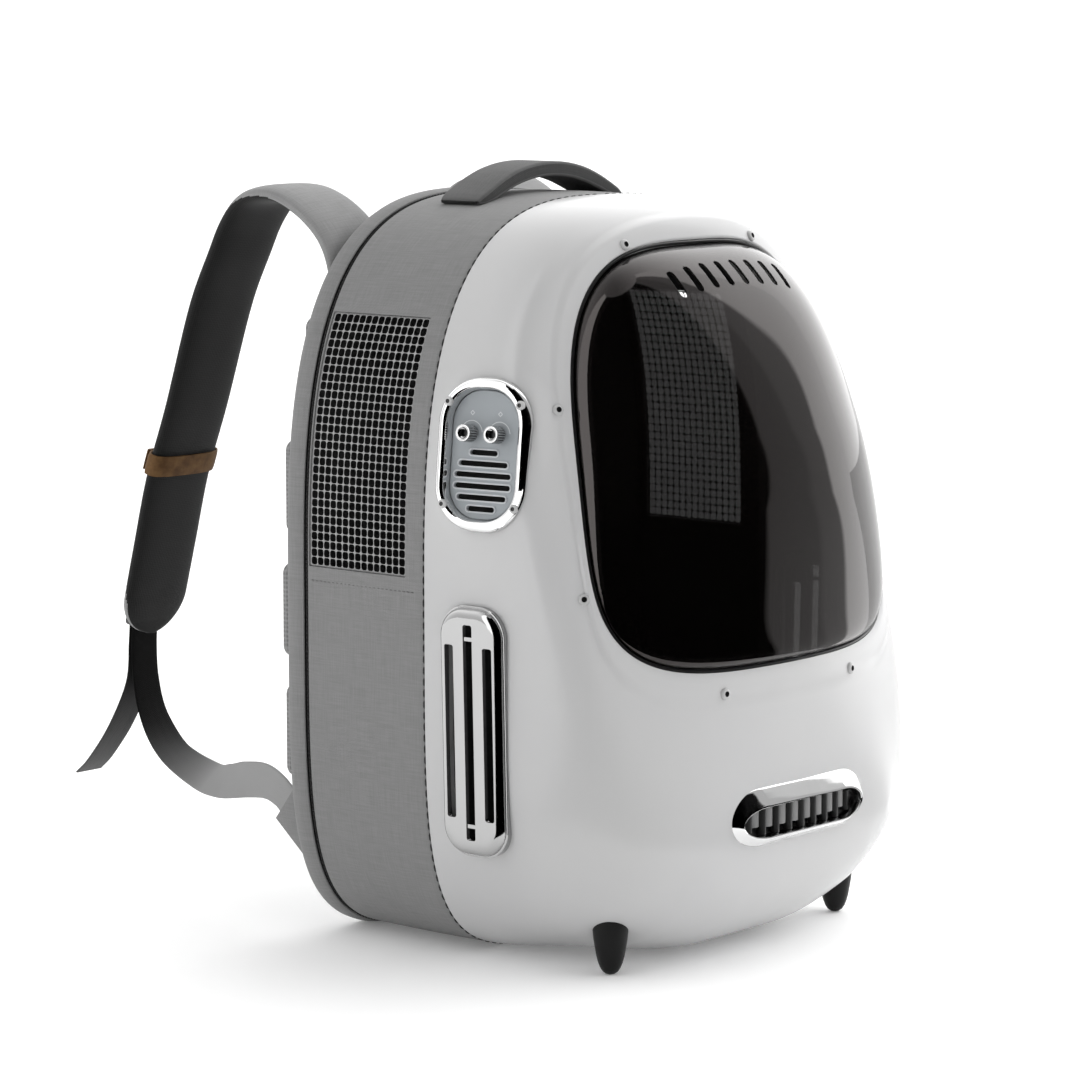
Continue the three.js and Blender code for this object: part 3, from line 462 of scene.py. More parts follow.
def cloth(name, level, pitch=1.1, depth=0.3):
    """Woven cloth with paler and darker threads that run both ways."""
    finish = Finish(name, level, 0.9, Sheen_Weight=0.05, Sheen_Roughness=0.5)
    streak, contrast = (1.3, 1.3 * 0.04), 0.1
    warp = finish.noise(finish.flat_place((*streak, 1)), 1.0)
    weft = finish.noise(finish.flat_place((*streak[::-1], 1)), 1.0)
    threads = finish.maths("MULTIPLY", finish.maths("ADD", warp, weft), 0.5)
    height = weave(finish, pitch)
    shade = finish.maths("ADD", threads, finish.maths("MULTIPLY", height, 0.05))
    share = finish.spread(shade, 0.36, 0.64, 0.0, 1.0)
    finish.colour(share, level * (1 - contrast), level * (1 + contrast))
    finish.gloss(threads, 0.3, 0.7, 0.95, 0.8)
    finish.bump(finish.maths("ADD", finish.maths("MULTIPLY", height, 0.5), threads), depth, 0.0004)
    return finish.material


def knit(name, level, pitch, depth, contrast):
    """Close spacer cloth with a small dimple at each stitch."""
    finish = Finish(name, level, 0.95, Sheen_Weight=0.1)
    inputs = {"Vector": finish.flat_place(), "Scale": 1.0 / pitch, "Randomness": 0.15}
    cells = finish.add("ShaderNodeTexVoronoi", inputs).outputs["Distance"]
    share = finish.spread(cells, 0.1, 0.6, 0.0, 1.0)
    finish.colour(share, level * (1 - contrast), level * (1 + contrast))
    finish.gloss(cells, 0.1, 0.6, 0.98, 0.85)
    finish.bump(cells, depth, 0.0006)
    return finish.material


def ribbed_web(name, dark, light, start, end):
    """Flat webbing woven in fine slanting ribs. Its colour goes from dark to light along its length as
    painted shade, dark where the webbing turns from the light.
    """
    finish = Finish(name, light, 0.8, Specular_IOR_Level=0.1)
    split = finish.add("ShaderNodeSeparateXYZ", {0: finish.flat_place()})
    slant = finish.maths("PINGPONG", split.outputs[0], 3.0)
    ribs = finish.maths("SINE", finish.maths("MULTIPLY", finish.maths("ADD", slant, split.outputs[1]), 5.5))
    fuzz = finish.noise(finish.flat_place(), 1.4)
    grain = finish.maths("MULTIPLY", finish.maths("ADD", finish.maths("MULTIPLY", ribs, 0.3), fuzz), 0.12)
    # Painted shade: the colour runs from dark at start to light at end along the webbing
    way = finish.spread(split.outputs[1], start, end, 0.0, 1.0)
    tone = finish.maths("SUBTRACT", finish.maths("POWER", way, 1.8), 0.06)
    finish.colour(finish.maths("ADD", tone, grain), dark, light)
    finish.gloss(fuzz, 0.3, 0.7, 0.7, 0.9)
    finish.bump(ribs, 0.25, 0.0003)
    return finish.material


def leather(name, dark, light):
    finish = Finish(name, light, 0.6, Specular_IOR_Level=0.12)
    place = finish.solid_place()
    grain = finish.add("ShaderNodeTexVoronoi", {"Vector": place, "Scale": 900.0}).outputs["Distance"]
    cloud = finish.noise(place, 90.0)
    finish.colour(finish.spread(cloud, 0.35, 0.65, 0.0, 1.0), dark, light)
    finish.gloss(cloud, 0.3, 0.7, 0.5, 0.7)
    finish.bump(grain, 0.25, 0.0003)
    return finish.material


def moulded(name, dark, light, roughness, grain=0.0, grain_scale=900.0, **sockets):
    """Moulded plastic or rubber: a slow drift of tone, uneven gloss and a fine grain."""
    finish = Finish(name, light, roughness, **sockets)
    place = finish.solid_place()
    drift = finish.noise(place, 9.0)
    fine = finish.noise(place, grain_scale, 2.0)
    finish.colour(finish.spread(drift, 0.3, 0.7, 0.0, 1.0), dark, light)
    low, high = roughness * 0.85, roughness * 1.15
    finish.gloss(finish.noise(place, 40.0), 0.3, 0.7, low, high)
    finish.bump(fine, grain, 0.0002)
    return finish.material


def polished(name, level, roughness):
    """Bright plated metal with faint wipe marks."""
    finish = Finish(name, level, roughness, 1.0)
    place = finish.solid_place()
    marks = finish.noise(place, 160.0, 4.0)
    tone = finish.spread(finish.noise(place, 20.0), 0.3, 0.7, 0.0, 1.0)
    finish.colour(tone, level * 0.96, level)
    finish.gloss(marks, 0.35, 0.7, roughness * 0.6, roughness * 1.5)
    return finish.material


def smoky(name):
    """Smoky clear plastic, a little cloudier in places."""
    finish = Finish(name, (0.0015, 0.0012, 0.001), 0.03, IOR=1.58, Specular_Tint=(1, 0.92, 0.9, 1))
    place = finish.solid_place()
    haze = finish.noise(place, 6.0)
    share = finish.spread(haze, 0.3, 0.7, 0.0, 1.0)
    finish.colour(share, (0.001, 0.0008, 0.0007), (0.002, 0.0016, 0.0014))
    finish.gloss(haze, 0.3, 0.7, 0.02, 0.045)
    finish.set("Alpha", 0.86)
    return finish.material


GREY_CLOTH = cloth("grey_canvas", 0.225)
HANDLE_CLOTH = cloth("handle_canvas", 0.1)
HANDLE_PAINTED_SHADE = cloth("handle_painted_shade", 0.05)
# A darker copy of the handle cloth for the handle's side faces, as painted shade
BACK_CLOTH = cloth("back_canvas", 0.23)
STRAP_CLOTH = cloth("strap_canvas", 0.27)
PAD_CLOTH = knit("pad_spacer", 0.2, 2.6, 0.5, 0.35)
STRAP_LINING = knit("strap_spacer", 0.006, 1.2, 0.15, 0.2)
LINING = cloth("dark_lining", 0.012, pitch=1.0)
ZIP_TAPE = cloth("zip_tape", 0.004, pitch=1.6, depth=0.6)
NET = moulded("net_cord", 0.3, 0.37, 0.6, 0.2)
THREAD = moulded("dark_thread", 0.012, 0.03, 0.8, 0.3)
PALE_THREAD = moulded("grey_thread", 0.12, 0.2, 0.8, 0.3)
# Both webbings carry painted shade: dark towards one end and light towards the other
WEB_CLOTH = ribbed_web("webbing_weave", 0.002, 0.32, 62, 152)
TAIL_CLOTH = ribbed_web("tail_weave", 0.002, 0.17, 5, 112)
LEATHER = leather("tan_leather", (0.09, 0.046, 0.018), (0.17, 0.094, 0.04))

# The shell's roughness ends at about 0.27, because rougher spots come out as pale specks in the picture
SHELL_WHITE = moulded("shell_gloss", (0.525, 0.525, 0.53), 0.55, 0.235, 0.02, 500.0)

SMOKY = smoky("smoky_clear")
GASKET_BLACK = moulded("gasket_black", 0.008, 0.016, 0.35, 0.05)
RUBBER = moulded("foot_rubber_dark", 0.003, 0.006, 0.42, 0.1, Specular_IOR_Level=0.2)
BUCKLE = moulded("buckle_black", 0.012, 0.022, 0.45, 0.15)
# Dark grey laid on the vent's inside and on its slot walls as painted shade
VENT_PAINTED_SHADE = moulded("vent_painted_shade", 0.05, 0.075, 0.4, 0.05)
DARK_RIB = moulded("grille_dark", 0.01, 0.02, 0.4, 0.1)
GREY_STRIP = moulded("grille_grey", 0.2, 0.26, 0.5, 0.1)
CHROME = polished("plated_chrome", 0.8, 0.06)
VENT_CHROME = polished("vent_plate", 0.46, 0.07)
STEEL = moulded("screw_plate", 0.42, 0.55, 0.25, 0.05)
KNOB_METAL = polished("knob_plate", 0.62, 0.2)
PLATE_PAINT = moulded("plate_blue_grey", (0.3, 0.325, 0.345), (0.34, 0.365, 0.385), 0.42, 0.15, 2500.0)
PLATE_RIM_HIGHLIGHT = moulded("plate_painted_highlight", (0.5, 0.52, 0.54), (0.6, 0.62, 0.64), 0.35, 0.05)
PRINT = moulded("pale_print", (0.6, 0.62, 0.63), (0.68, 0.7, 0.71), 0.6, 0.05)


# Hard shell
def surface(form):
    """A form that rays can be shot at."""
    return BVHTree.FromPolygons([tuple(point) for point in form.points], form.faces)


def rim_face_y(x, z):
    return RIM_FACE.y + RIM_FACE.lean * (z - RIM_FACE.z) + RIM_FACE.roll * x * x


def corner_powers(seam):
    """How square the shell's corner is at each seam point, with no sudden change."""
    power = np.interp(seam[:, 1], SHELL_CORNERS.z, SHELL_CORNERS.power)
    reach = 10
    return sum(np.roll(power, shift) for shift in range(-reach, reach + 1)) / (2 * reach + 1)


def panel_seat():
    """The control panel's seat, found from the two knob axes of the construction."""
    joints = {joint["child"]: joint for joint in frame["joints"]}
    first, second = joints["fan_knob"], joints["light_knob"]
    seat = standing_on((0, 0, 0), first["axis"])
    middle = (np.array(first["pos_m"]) + np.array(second["pos_m"])) / 2 / MM
    seat[:3, 3] = middle - seat[:3, 1] * KNOB.z - seat[:3, 2] * KNOB.axis_height
    return seat


PANEL_SEAT = panel_seat()


def panel_boss(points, level):
    """Fills out the shell round the control panel, to make a nearly level seat for it."""
    local = (points - PANEL_SEAT[:3, 3]) @ PANEL_SEAT[:3, :3]
    straight = np.array((PANEL.width, PANEL.height)) / 2 - PANEL.corner
    beyond = np.maximum(np.abs(local[..., :2]) - straight, 0)
    distance = np.linalg.norm(beyond, axis=-1) - PANEL.corner
    near = (1 - smooth(distance, 0, BOSS.reach)) * (points[..., 0] < 0)
    lack = level - local[..., 2]
    lift = near * (lack + np.hypot(lack, BOSS.blend)) / 2
    return points + lift[..., None] * PANEL_SEAT[:3, 2]


def chin_height(points):
    """Heights after the underside is raised at the chin's two corners and lowered between them."""
    x, y, z = np.moveaxis(points, -1, 0)
    aside = smooth(np.abs(x), CHIN.inside, CHIN.outside)
    lift = CHIN.middle + (CHIN.corner - CHIN.middle) * aside
    weight = smooth(-y, CHIN.back, CHIN.front) * (1 - smooth(z, CHIN.low, CHIN.high))
    return np.maximum(z + lift * weight, 0)


def shell_rows(rows, offset, flange):
    """Rows of points from the window rim to the cloth seam, moved outwards by offset."""
    seam, rim = outline(BODY, AROUND), outline(WINDOW, AROUND)
    power = corner_powers(seam)
    angle = np.linspace(0, np.pi / 2, rows)[:, None]
    reach = squared_reach(angle, power)
    to_rim, to_seam = (reach * np.cos(angle))[..., None], (reach * np.sin(angle))[..., None]
    flat = rim_face_y(seam[:, 0], seam[:, 1])
    corner_y = (flat + SHELL.chin + np.hypot(flat - SHELL.chin, SHELL.blend)) / 2
    start = joined(rim[:, 0], rim_face_y(rim[:, 0], rim[:, 1]), rim[:, 1])
    corner = joined(seam[:, 0], corner_y, seam[:, 1])
    end = at_depth(seam, SHELL.seam)
    heart = start + end - corner
    points = heart + (start - heart) * to_rim + (end - heart) * to_seam
    points[..., 2] = chin_height(points)
    around = np.roll(points, -1, 1) - np.roll(points, 1, 1)
    outward = unit(np.cross(around, np.gradient(points, axis=0)))
    steps = np.linalg.norm(np.diff(points, axis=0, prepend=points[:1]), axis=2)
    from_rim = np.cumsum(steps, 0)[..., None]
    raise_by = flange * (1 - smooth(from_rim, FLANGE.start, FLANGE.end))
    lip = np.clip(1 - from_rim / FLANGE.lip, 0, 1) ** 2 * FLANGE.drop * (flange > 0)
    moved = panel_boss(points + outward * (offset + raise_by - lip), BOSS.level + offset)
    moved[-1, :, 1] = SHELL.seam
    return moved


OUTER_ROWS, INNER_ROWS = 88, 30
outer_shell = shell_rows(OUTER_ROWS, 0, FLANGE.rise)
skin = Form()
skin.table(outer_shell)
shell_tree = surface(skin)
FAR = 900


def side_hit(sign, y, z):
    return np.array(shell_tree.ray_cast(Vector((sign * FAR, y, z)), Vector((-sign, 0, 0)))[0])


def front_hit(x, z):
    return np.array(shell_tree.ray_cast(Vector((x, -FAR, z)), Vector((0, 1, 0)))[0])


def side_seat(sign, y, z, width, height):
    """Where a fitting sits on the side of the shell, square to the shell there."""
    reach = 0.35
    front, back = side_hit(sign, y - width * reach, z), side_hit(sign, y + width * reach, z)
    low, high = side_hit(sign, y, z - height * reach), side_hit(sign, y, z + height * reach)
    outward = unit(np.cross(high - low, front - back))
    outward *= np.sign(outward[0]) * sign
    return standing_on(side_hit(sign, y, z), outward)


VENT_SEATS = {sign: side_seat(sign, VENT.y, VENT.z, VENT.width, VENT.height) for _, sign in SIDES}
GRILLE_SEAT = standing_on(front_hit(0, GRILLE.z), (0, -1, 0))
DEEP = 16


def rolled(points):
    """Bends points of the grille to the curve of the chin, then places them."""
    points = np.array(points, float)
    points[..., 2] -= RIM_FACE.roll * points[..., 0] ** 2
    return placed(points, GRILLE_SEAT)


def grille_loop(inset):
    """The grille's outline moved inwards. Its ends are half ovals, and its opening lies low in it."""
    share = inset / GRILLE.ring
    end = GRILLE.ends[0] + (GRILLE.ends[1] - GRILLE.ends[0]) * share
    half_width, half_height = GRILLE.width / 2 - inset, GRILLE.height / 2 - inset
    points = []
    for sign in (1, -1):
        for angle in np.linspace(-np.pi / 2, np.pi / 2, 40):
            x = half_width - end + end * math.cos(angle)
            points.append((sign * x, sign * half_height * math.sin(angle) - GRILLE.drop * share))
    return np.array(points)


def opening_under(fitting):
    """The outline of the shell's hole under a fitting that covers its edge."""
    margin = 4
    return rounded_rectangle(fitting.width - 2 * margin, fitting.height - 2 * margin, fitting.corner - margin)


def build_shell():
    inner = shell_rows(INNER_ROWS, -SHELL.wall, 0)
    form = Form().ring(np.concatenate([outer_shell, inner[::-1]]))
    made = piece("front_shell", form, [SHELL_WHITE], ["shell"])
    holes = Form()
    prism(holes, opening_under(PANEL), -DEEP, DEEP, PANEL_SEAT)
    for _, sign in SIDES:
        prism(holes, opening_under(VENT), -DEEP, DEEP, VENT_SEATS[sign])
    covered = 1.5
    opening = grille_loop(GRILLE.ring - covered)
    holes.loft([rolled(lifted(opening, level)) for level in (-DEEP, DEEP)])
    carve(made, holes)


# Window
def dome_rise(z):
    """How far the dome stands out of its rim at a height."""
    return DOME.bottom + (DOME.top - DOME.bottom) * smooth(z, DOME.start, DOME.end)


def dome_loop(edge, share, lower):
    x = edge[:, 0] * share
    z = WINDOW.middle + (edge[:, 1] - WINDOW.middle) * share
    swell = math.sqrt(max(1 - share ** DOME.power, 0))
    return joined(x, rim_face_y(x, z) - np.maximum(dome_rise(z) * swell - lower, 0), z)


def build_window():
    rows = 44
    shares = np.sin(np.linspace(np.pi / 2, 0.02, rows))
    outer_edge = outline(WINDOW, AROUND, DOME.inset)
    inner_edge = outline(WINDOW, AROUND, DOME.inset + DOME.wall)
    inner = [dome_loop(inner_edge, share, DOME.wall * (1 - share)) for share in shares]
    outer = [dome_loop(outer_edge, share, 0) for share in shares]
    made = piece("window_dome", Form().loft(inner[::-1] + outer), [SMOKY], ["window"])
    slots = Form()
    shape = oblong(DOME_SLOT.width, DOME_SLOT.length)
    outward = (0, -DOME_SLOT.lean, math.sqrt(1 - DOME_SLOT.lean ** 2))
    for i in range(DOME_SLOT.count):
        x = (i - (DOME_SLOT.count - 1) / 2) * DOME_SLOT.pitch
        z = DOME_SLOT.z - DOME_SLOT.drop * x * x
        seat = standing_on((x, rim_face_y(x, z) - dome_rise(z) / 2, z), outward)
        prism(slots, shape, -DEEP, DEEP, seat)
    carve(made, slots)


def build_gasket():
    profile = ((0.3, -2.2), (0.3, 0.6), (0.5, 1.1), (1.1, 1.4), (1.7, 1.1), (2.1, 0.6), (2.3, -2.2))
    loops = []
    for inset, lift in profile:
        loop = outline(WINDOW, AROUND, inset)
        x, z = loop[:, 0], loop[:, 1]
        slope = joined(2 * RIM_FACE.roll * x, -1, RIM_FACE.lean)
        loops.append(joined(x, rim_face_y(x, z), z) + unit(slope) * lift)
    piece("window_seal", Form().ring(loops), [GASKET_BLACK], ["window_gasket"])


# Rows of a screw head as shares of its radius and its rise, and which of them are its socket, painted black
# as shade in the recess
SCREW_HEAD = (
    (1, -1), (1, 0.25), (0.94, 0.55), (0.78, 0.86), (0.6, 1), (0.48, 1), (0.42, 0.5), (0.1, 0.35),
)
SCREW_KINDS = (0, 0, 0, 0, 0, 1, 1)


def build_screw(node, size, seat):
    profile = [(size.radius * across, size.rise * up) for across, up in SCREW_HEAD]
    head = lathe(profile, seat, kinds=SCREW_KINDS)
    piece(f"{node}_head", head, [STEEL, GASKET_BLACK], [node])


def build_window_screws():
    reach = 3.6
    for side, sign in SIDES:
        for name, x, z in WINDOW_SCREWS:
            x = sign * x
            wide = front_hit(x + reach, z) - front_hit(x - reach, z)
            tall = front_hit(x, z + reach) - front_hit(x, z - reach)
            seat = standing_on(front_hit(x, z), np.cross(wide, tall))
            build_screw(f"window_screw_{name}_{side}", WINDOW_SCREW, seat)


# Control panel
def inset_loops(profile, width, height, corner, matrix):
    loops = []
    for inset, level in profile:
        loop = rounded_rectangle(width - 2 * inset, height - 2 * inset, corner - inset)
        loops.append(raised(loop, level, matrix))
    return loops


def on_panel(x, y, level=0.0):
    """The control panel's seat, moved to a place on it."""
    seat = PANEL_SEAT.copy()
    seat[:3, 3] = placed((x, y, level), PANEL_SEAT)
    return seat


def level_over_panel(tree, x, y):
    """How high a surface stands above the panel's own plane."""
    start = 40.0
    origin = Vector(placed((x, y, start), PANEL_SEAT))
    return start - tree.ray_cast(origin, Vector(-PANEL_SEAT[:3, 2]))[3]


def bezel_loops():
    """The bezel's outer edge lies on the shell, and its inner lip is level."""
    loops = []
    for inset, share, level in BEZEL:
        corner = PANEL.corner - inset
        flat = rounded_rectangle(PANEL.width - 2 * inset, PANEL.height - 2 * inset, corner)
        loop = lifted(flat, level)
        loop[:, 2] += share * BEZEL_SLOPE * flat[:, 0]
        loop[:, 2] += (1 - share) * np.array([level_over_panel(shell_tree, x, y) for x, y in flat])
        loops.append(placed(loop, PANEL_SEAT))
    return loops


def build_panel_screws(bezel):
    tree = surface(bezel)
    for side, x in (("rear", PANEL_SCREW.rear), ("front", PANEL_SCREW.front)):
        for level, row in (("lower", -1), ("upper", 1)):
            y = row * PANEL_SCREW.z
            seat = on_panel(x, y, level_over_panel(tree, x, y))
            build_screw(f"control_screw_{level}_{side}", PANEL_SCREW, seat)


def build_panel():
    bezel = Form().ring(bezel_loops())
    piece("panel_bezel", bezel, [CHROME], ["control_bezel"])
    top, margin, clear = PANEL.plate_top, 2 * PANEL.ring, 0.5
    profile = ((0.3, PANEL.plate_low), (0, top - 0.4), (0.4, top))
    inner = (PANEL.width - margin - clear, PANEL.height - margin - clear, PANEL.corner - PANEL.ring)
    plate = Form().loft(inset_loops(profile, *inner, PANEL_SEAT))
    made = piece("panel_plate", plate, [PLATE_PAINT], ["control_plate"])
    holes, rims = Form(), Form()
    for i, length in enumerate(PLATE_SLOTS.lengths):
        slot = oblong(length, PLATE_SLOTS.height, 8)
        matrix = on_panel(0, PLATE_SLOTS.top - i * PLATE_SLOTS.pitch)
        prism(holes, slot, -DEEP, DEEP, matrix)
        loops = []
        for inset, level in SLOT_RIM:
            grown = oblong(length - 2 * inset, PLATE_SLOTS.height - 2 * inset, 8)
            loops.append(raised(grown, top + level, matrix))
        rims.ring(loops)
    carve(made, holes)
    # The slot rims are painted paler than the plate, as a painted highlight
    piece("panel_slot_rims", rims, [PLATE_RIM_HIGHLIGHT])
    build_panel_print(top)
    build_panel_screws(bezel)


def build_panel_print(top):
    """Pale printed arcs over the knobs, with a small diamond above each."""
    marks = Form()
    inner, outer, proud, above_knob = 6.9, 7.4, 0.06, 11.5
    for side in (-1, 1):
        centre = np.array((side * KNOB.x, KNOB.z, 0))
        angle = np.linspace(math.radians(8), math.radians(172), 40)
        way = joined(np.cos(angle), np.sin(angle), 0)
        sections = []
        for radius, level in ((inner, 0), (outer, 0), (outer, proud), (inner, proud)):
            sections.append(centre + way * radius + np.array((0, 0, top + level)))
        marks.loft(placed(np.stack(sections, 1), PANEL_SEAT))
        corners = np.array(((1, 0, 0), (0, 1, 0), (-1, 0, 0), (0, -1, 0)))
        diamond = []
        for radius, level in ((1.5, 0), (1.5, proud), (0.95, proud), (0.95, 0)):
            place = centre + np.array((0, above_knob, top + level))
            diamond.append(placed(place + corners * radius, PANEL_SEAT))
        marks.ring(diamond)
    piece("panel_print", marks, [PRINT])


def build_knobs():
    radius, base, rise = KNOB.radius, KNOB.base, KNOB.rise
    top = base + rise
    profile = (
        (2.0, 0.2), (2.0, base), (radius * 0.93, base), (radius, base + 0.5), (radius, top - 0.7),
        (radius * 0.93, top - 0.1), (radius * 0.84, top), (radius * 0.66, top - 0.15),
        (radius * 0.52, top - 1.0), (radius * 0.45, top - 1.2), (radius * 0.42, top - 1.3),
        (radius * 0.4, top - 3.8), (radius * 0.05, top - 3.9),
    )
    # Painted shade: the rows of the knob's centre recess are black
    kinds = [0] * (len(profile) - 4) + [1] * 3
    # Painted shade: the columns at the bottom of each knurl groove are black
    per_tooth, painted_shade_grooves, tooth_depth = 8, (0, 6, 7), 0.7
    columns = per_tooth * KNOB.teeth
    for name, x in (("fan_knob", -KNOB.x), ("light_knob", KNOB.x)):
        form = lathe(profile, on_panel(x, KNOB.z), columns, kinds, KNOB.teeth, tooth_depth, toothed=(3, 4))
        knurled = 3 * columns
        for number in range(columns):
            if number % per_tooth in painted_shade_grooves:
                form.kinds[knurled + number] = 1
        piece(f"{name}_cap", form, [KNOB_METAL, GASKET_BLACK], [name], body=name, sharp=30)


# Vents, grille and feet
def build_vents():
    crown = (
        (0.0, 0.05), (0.0, 0.16), (0.2, 0.2), (1.1, 0.22), (1.3, 0.4), (1.8, 0.6), (2.6, 0.77), (3.7, 0.88),
        (5.2, 0.95), (7.5, 0.985), (11.0, 0.998), (15.8, 1.0),
    )
    foot, wall = -10.0, VENT.wall
    outer = [(0.0, foot)] + [(inset, VENT.rise * share) for inset, share in crown]
    inner = [(inset + wall, level - wall) for inset, level in outer[:-3]]
    inner[0] = (wall, foot)
    # Painted shade: the cover's inside rows take the dark vent material
    kinds = [1] * len(inner) + [0] * (len(outer) - 1)
    for side, sign in SIDES:
        seat = VENT_SEATS[sign]
        rows = inner[::-1] + outer
        cover = Form().loft(inset_loops(rows, VENT.width, VENT.height, VENT.corner, seat), kinds)
        node = f"vent_{side}"
        made = piece(f"{node}_cover", cover, [VENT_CHROME, VENT_PAINTED_SHADE], [node])
        carve(made, vent_slots(seat), sharp=30)
        piece(f"{node}_bridges", vent_bridges(seat), [VENT_CHROME])


def vent_slots(seat):
    """Slots whose long walls take dark grey as painted shade, with ends that stay bright chrome."""
    steps = 5
    form = Form()
    for across, length in VENT_SLOTS:
        slot = rounded_rectangle(VENT_SLOT_WIDTH, length, 1.4, steps)
        slot[:, 0] += across
        prism(form, slot, -DEEP, DEEP, seat)
        long_walls = (2 * steps + 1, 4 * steps + 3)
        walls = [1 if number in long_walls else 0 for number in range(len(slot))]
        form.kinds[-len(slot) - 2:] = walls + [1, 1]
    return form


def vent_bridges(seat):
    """Two small blocks that cross the middle slot near its ends."""
    form = Form()
    low, high, reach, tall = 1.5, 5.2, 53, 2.2
    for row in (-1, 1):
        block = rounded_rectangle(VENT_SLOT_WIDTH + 0.6, tall, 0.4, 3)
        block[:, 1] += row * reach
        smaller = block * (0.96, 1.0)
        levels = ((block, low), (block, high - 0.4), (smaller, high))
        form.loft([raised(loop, level, seat) for loop, level in levels])
    return form


def build_grille():
    profile = (
        (0, -7), (0, 0.7), (0.3, 1.4), (0.9, 2.0), (2.5, 3.2), (4.5, 4.7), (6.3, 6.0), (7.3, 6.5), (8.0, 6.3),
        (8.4, 5.6), (8.4, -4),
    )
    loops = [rolled(lifted(grille_loop(inset), level)) for inset, level in profile]
    piece("grille_ring", Form().ring(loops), [CHROME], ["grille_frame"])
    form = Form()
    plate = grille_loop(GRILLE.ring + 0.15)
    form.loft([rolled(lifted(plate, level)) for level in (-6, -1.5)])
    for i in range(GRILLE.bars):
        x = (i - (GRILLE.bars - 1) / 2) * GRILLE.pitch
        upright(form, x, GRILLE.bar, (-2, 1.5), 0)
        if i + 1 < GRILLE.bars:
            strip_width = GRILLE.pitch - GRILLE.bar
            upright(form, x + GRILLE.pitch / 2, strip_width, (-2, 0.6), 1, 0.24)
    piece("grille_ribs", form, [DARK_RIB, GREY_STRIP], ["grille_bars"])


def upright(form, x, width, levels, kind, ledge=0.0):
    """One round-fronted upright of the grille, kept inside the oblong opening."""
    half_width, half_height = GRILLE.width / 2 - GRILLE.ring, GRILLE.height / 2 - GRILLE.ring
    end = GRILLE.ends[1]
    beyond = max(abs(x) + width / 2 - (half_width - end), 0)
    half = half_height * math.sqrt(max(1 - (beyond / end) ** 2, 0.05)) - 0.3
    low, high = -half + ledge * 2 * half_height - GRILLE.drop, half - GRILLE.drop
    back, front = levels
    section = []
    for angle in np.linspace(0, math.pi, 9):
        bulge = 0.55 + 0.45 * math.sin(angle)
        section.append((x + width / 2 * math.cos(angle), back + (front - back) * bulge))
    section = [(x + width / 2, back)] + section + [(x - width / 2, back)]
    loops = [rolled(np.array([(px, level, pz) for px, pz in section])) for level in (low, high)]
    form.loft(loops, kind)


def build_feet():
    profile = (
        (1.0, 0.0), (2.8, 0.5), (4.4, 1.7), (5.8, 3.8), (7.0, 6.8), (8.0, 10.5), (8.8, 15.0), (9.6, 20.0),
        (10.2, 26.0), (10.5, 36.0),
    )
    for side, sign in SIDES:
        matrix = np.eye(4)
        matrix[:3, 3] = (sign * FOOT.x, FOOT.y, 0)
        node = f"foot_{side}"
        piece(f"{node}_peg", lathe(profile, matrix, columns=48), [RUBBER], [node])


# Cloth body
def band_profile():
    """Depth and inset of the band from its front edge to its back edge, a little full between them."""
    rows = [(BAND_FRONT, 1.3), (BAND_FRONT + 0.5, 0.45), (BAND_FRONT + 1.6, 0.05)]
    for depth in np.linspace(BAND_FRONT + 4, BAND_BACK - 4, 20):
        share = (depth - BAND_FRONT) / (BAND_BACK - BAND_FRONT)
        rows.append((depth, -0.5 * math.sin(math.pi * share)))
    return rows + [(BAND_BACK - 1.6, 0.05), (BAND_BACK - 0.5, 0.45), (BAND_BACK, 1.3)]


def build_band():
    profile = band_profile()
    outer = [body_loop(inset, depth) for depth, inset in profile]
    inner = [body_loop(BAND_WALL, depth) for depth in (BAND_BACK, 0, BAND_FRONT)]
    kinds = [0] * (len(outer) - 1) + [1] * (len(inner) + 1)
    band = Form().ring(outer + inner, kinds)
    made = piece("cloth_band", band, [GREY_CLOTH, LINING], ["side_band"])
    holes = Form()
    depth, height = MESH.back - MESH.front, MESH.top - MESH.bottom
    opening = rounded_rectangle(depth, height, 0.8, 4)
    centre = np.array((0, (MESH.front + MESH.back) / 2, (MESH.top + MESH.bottom) / 2))
    reach, inwards, outwards = 140, -40, 60
    for _, sign in SIDES:
        seat = standing_on(centre + sign * ACROSS * reach, (sign, 0, 0))
        prism(holes, opening, inwards, outwards, seat)
    carve(made, holes)


NEAR = 0.01


def mesh_place(sign, depth, height):
    reach = half_width_at(height) - MESH.sink
    return joined(sign * reach, depth, height)


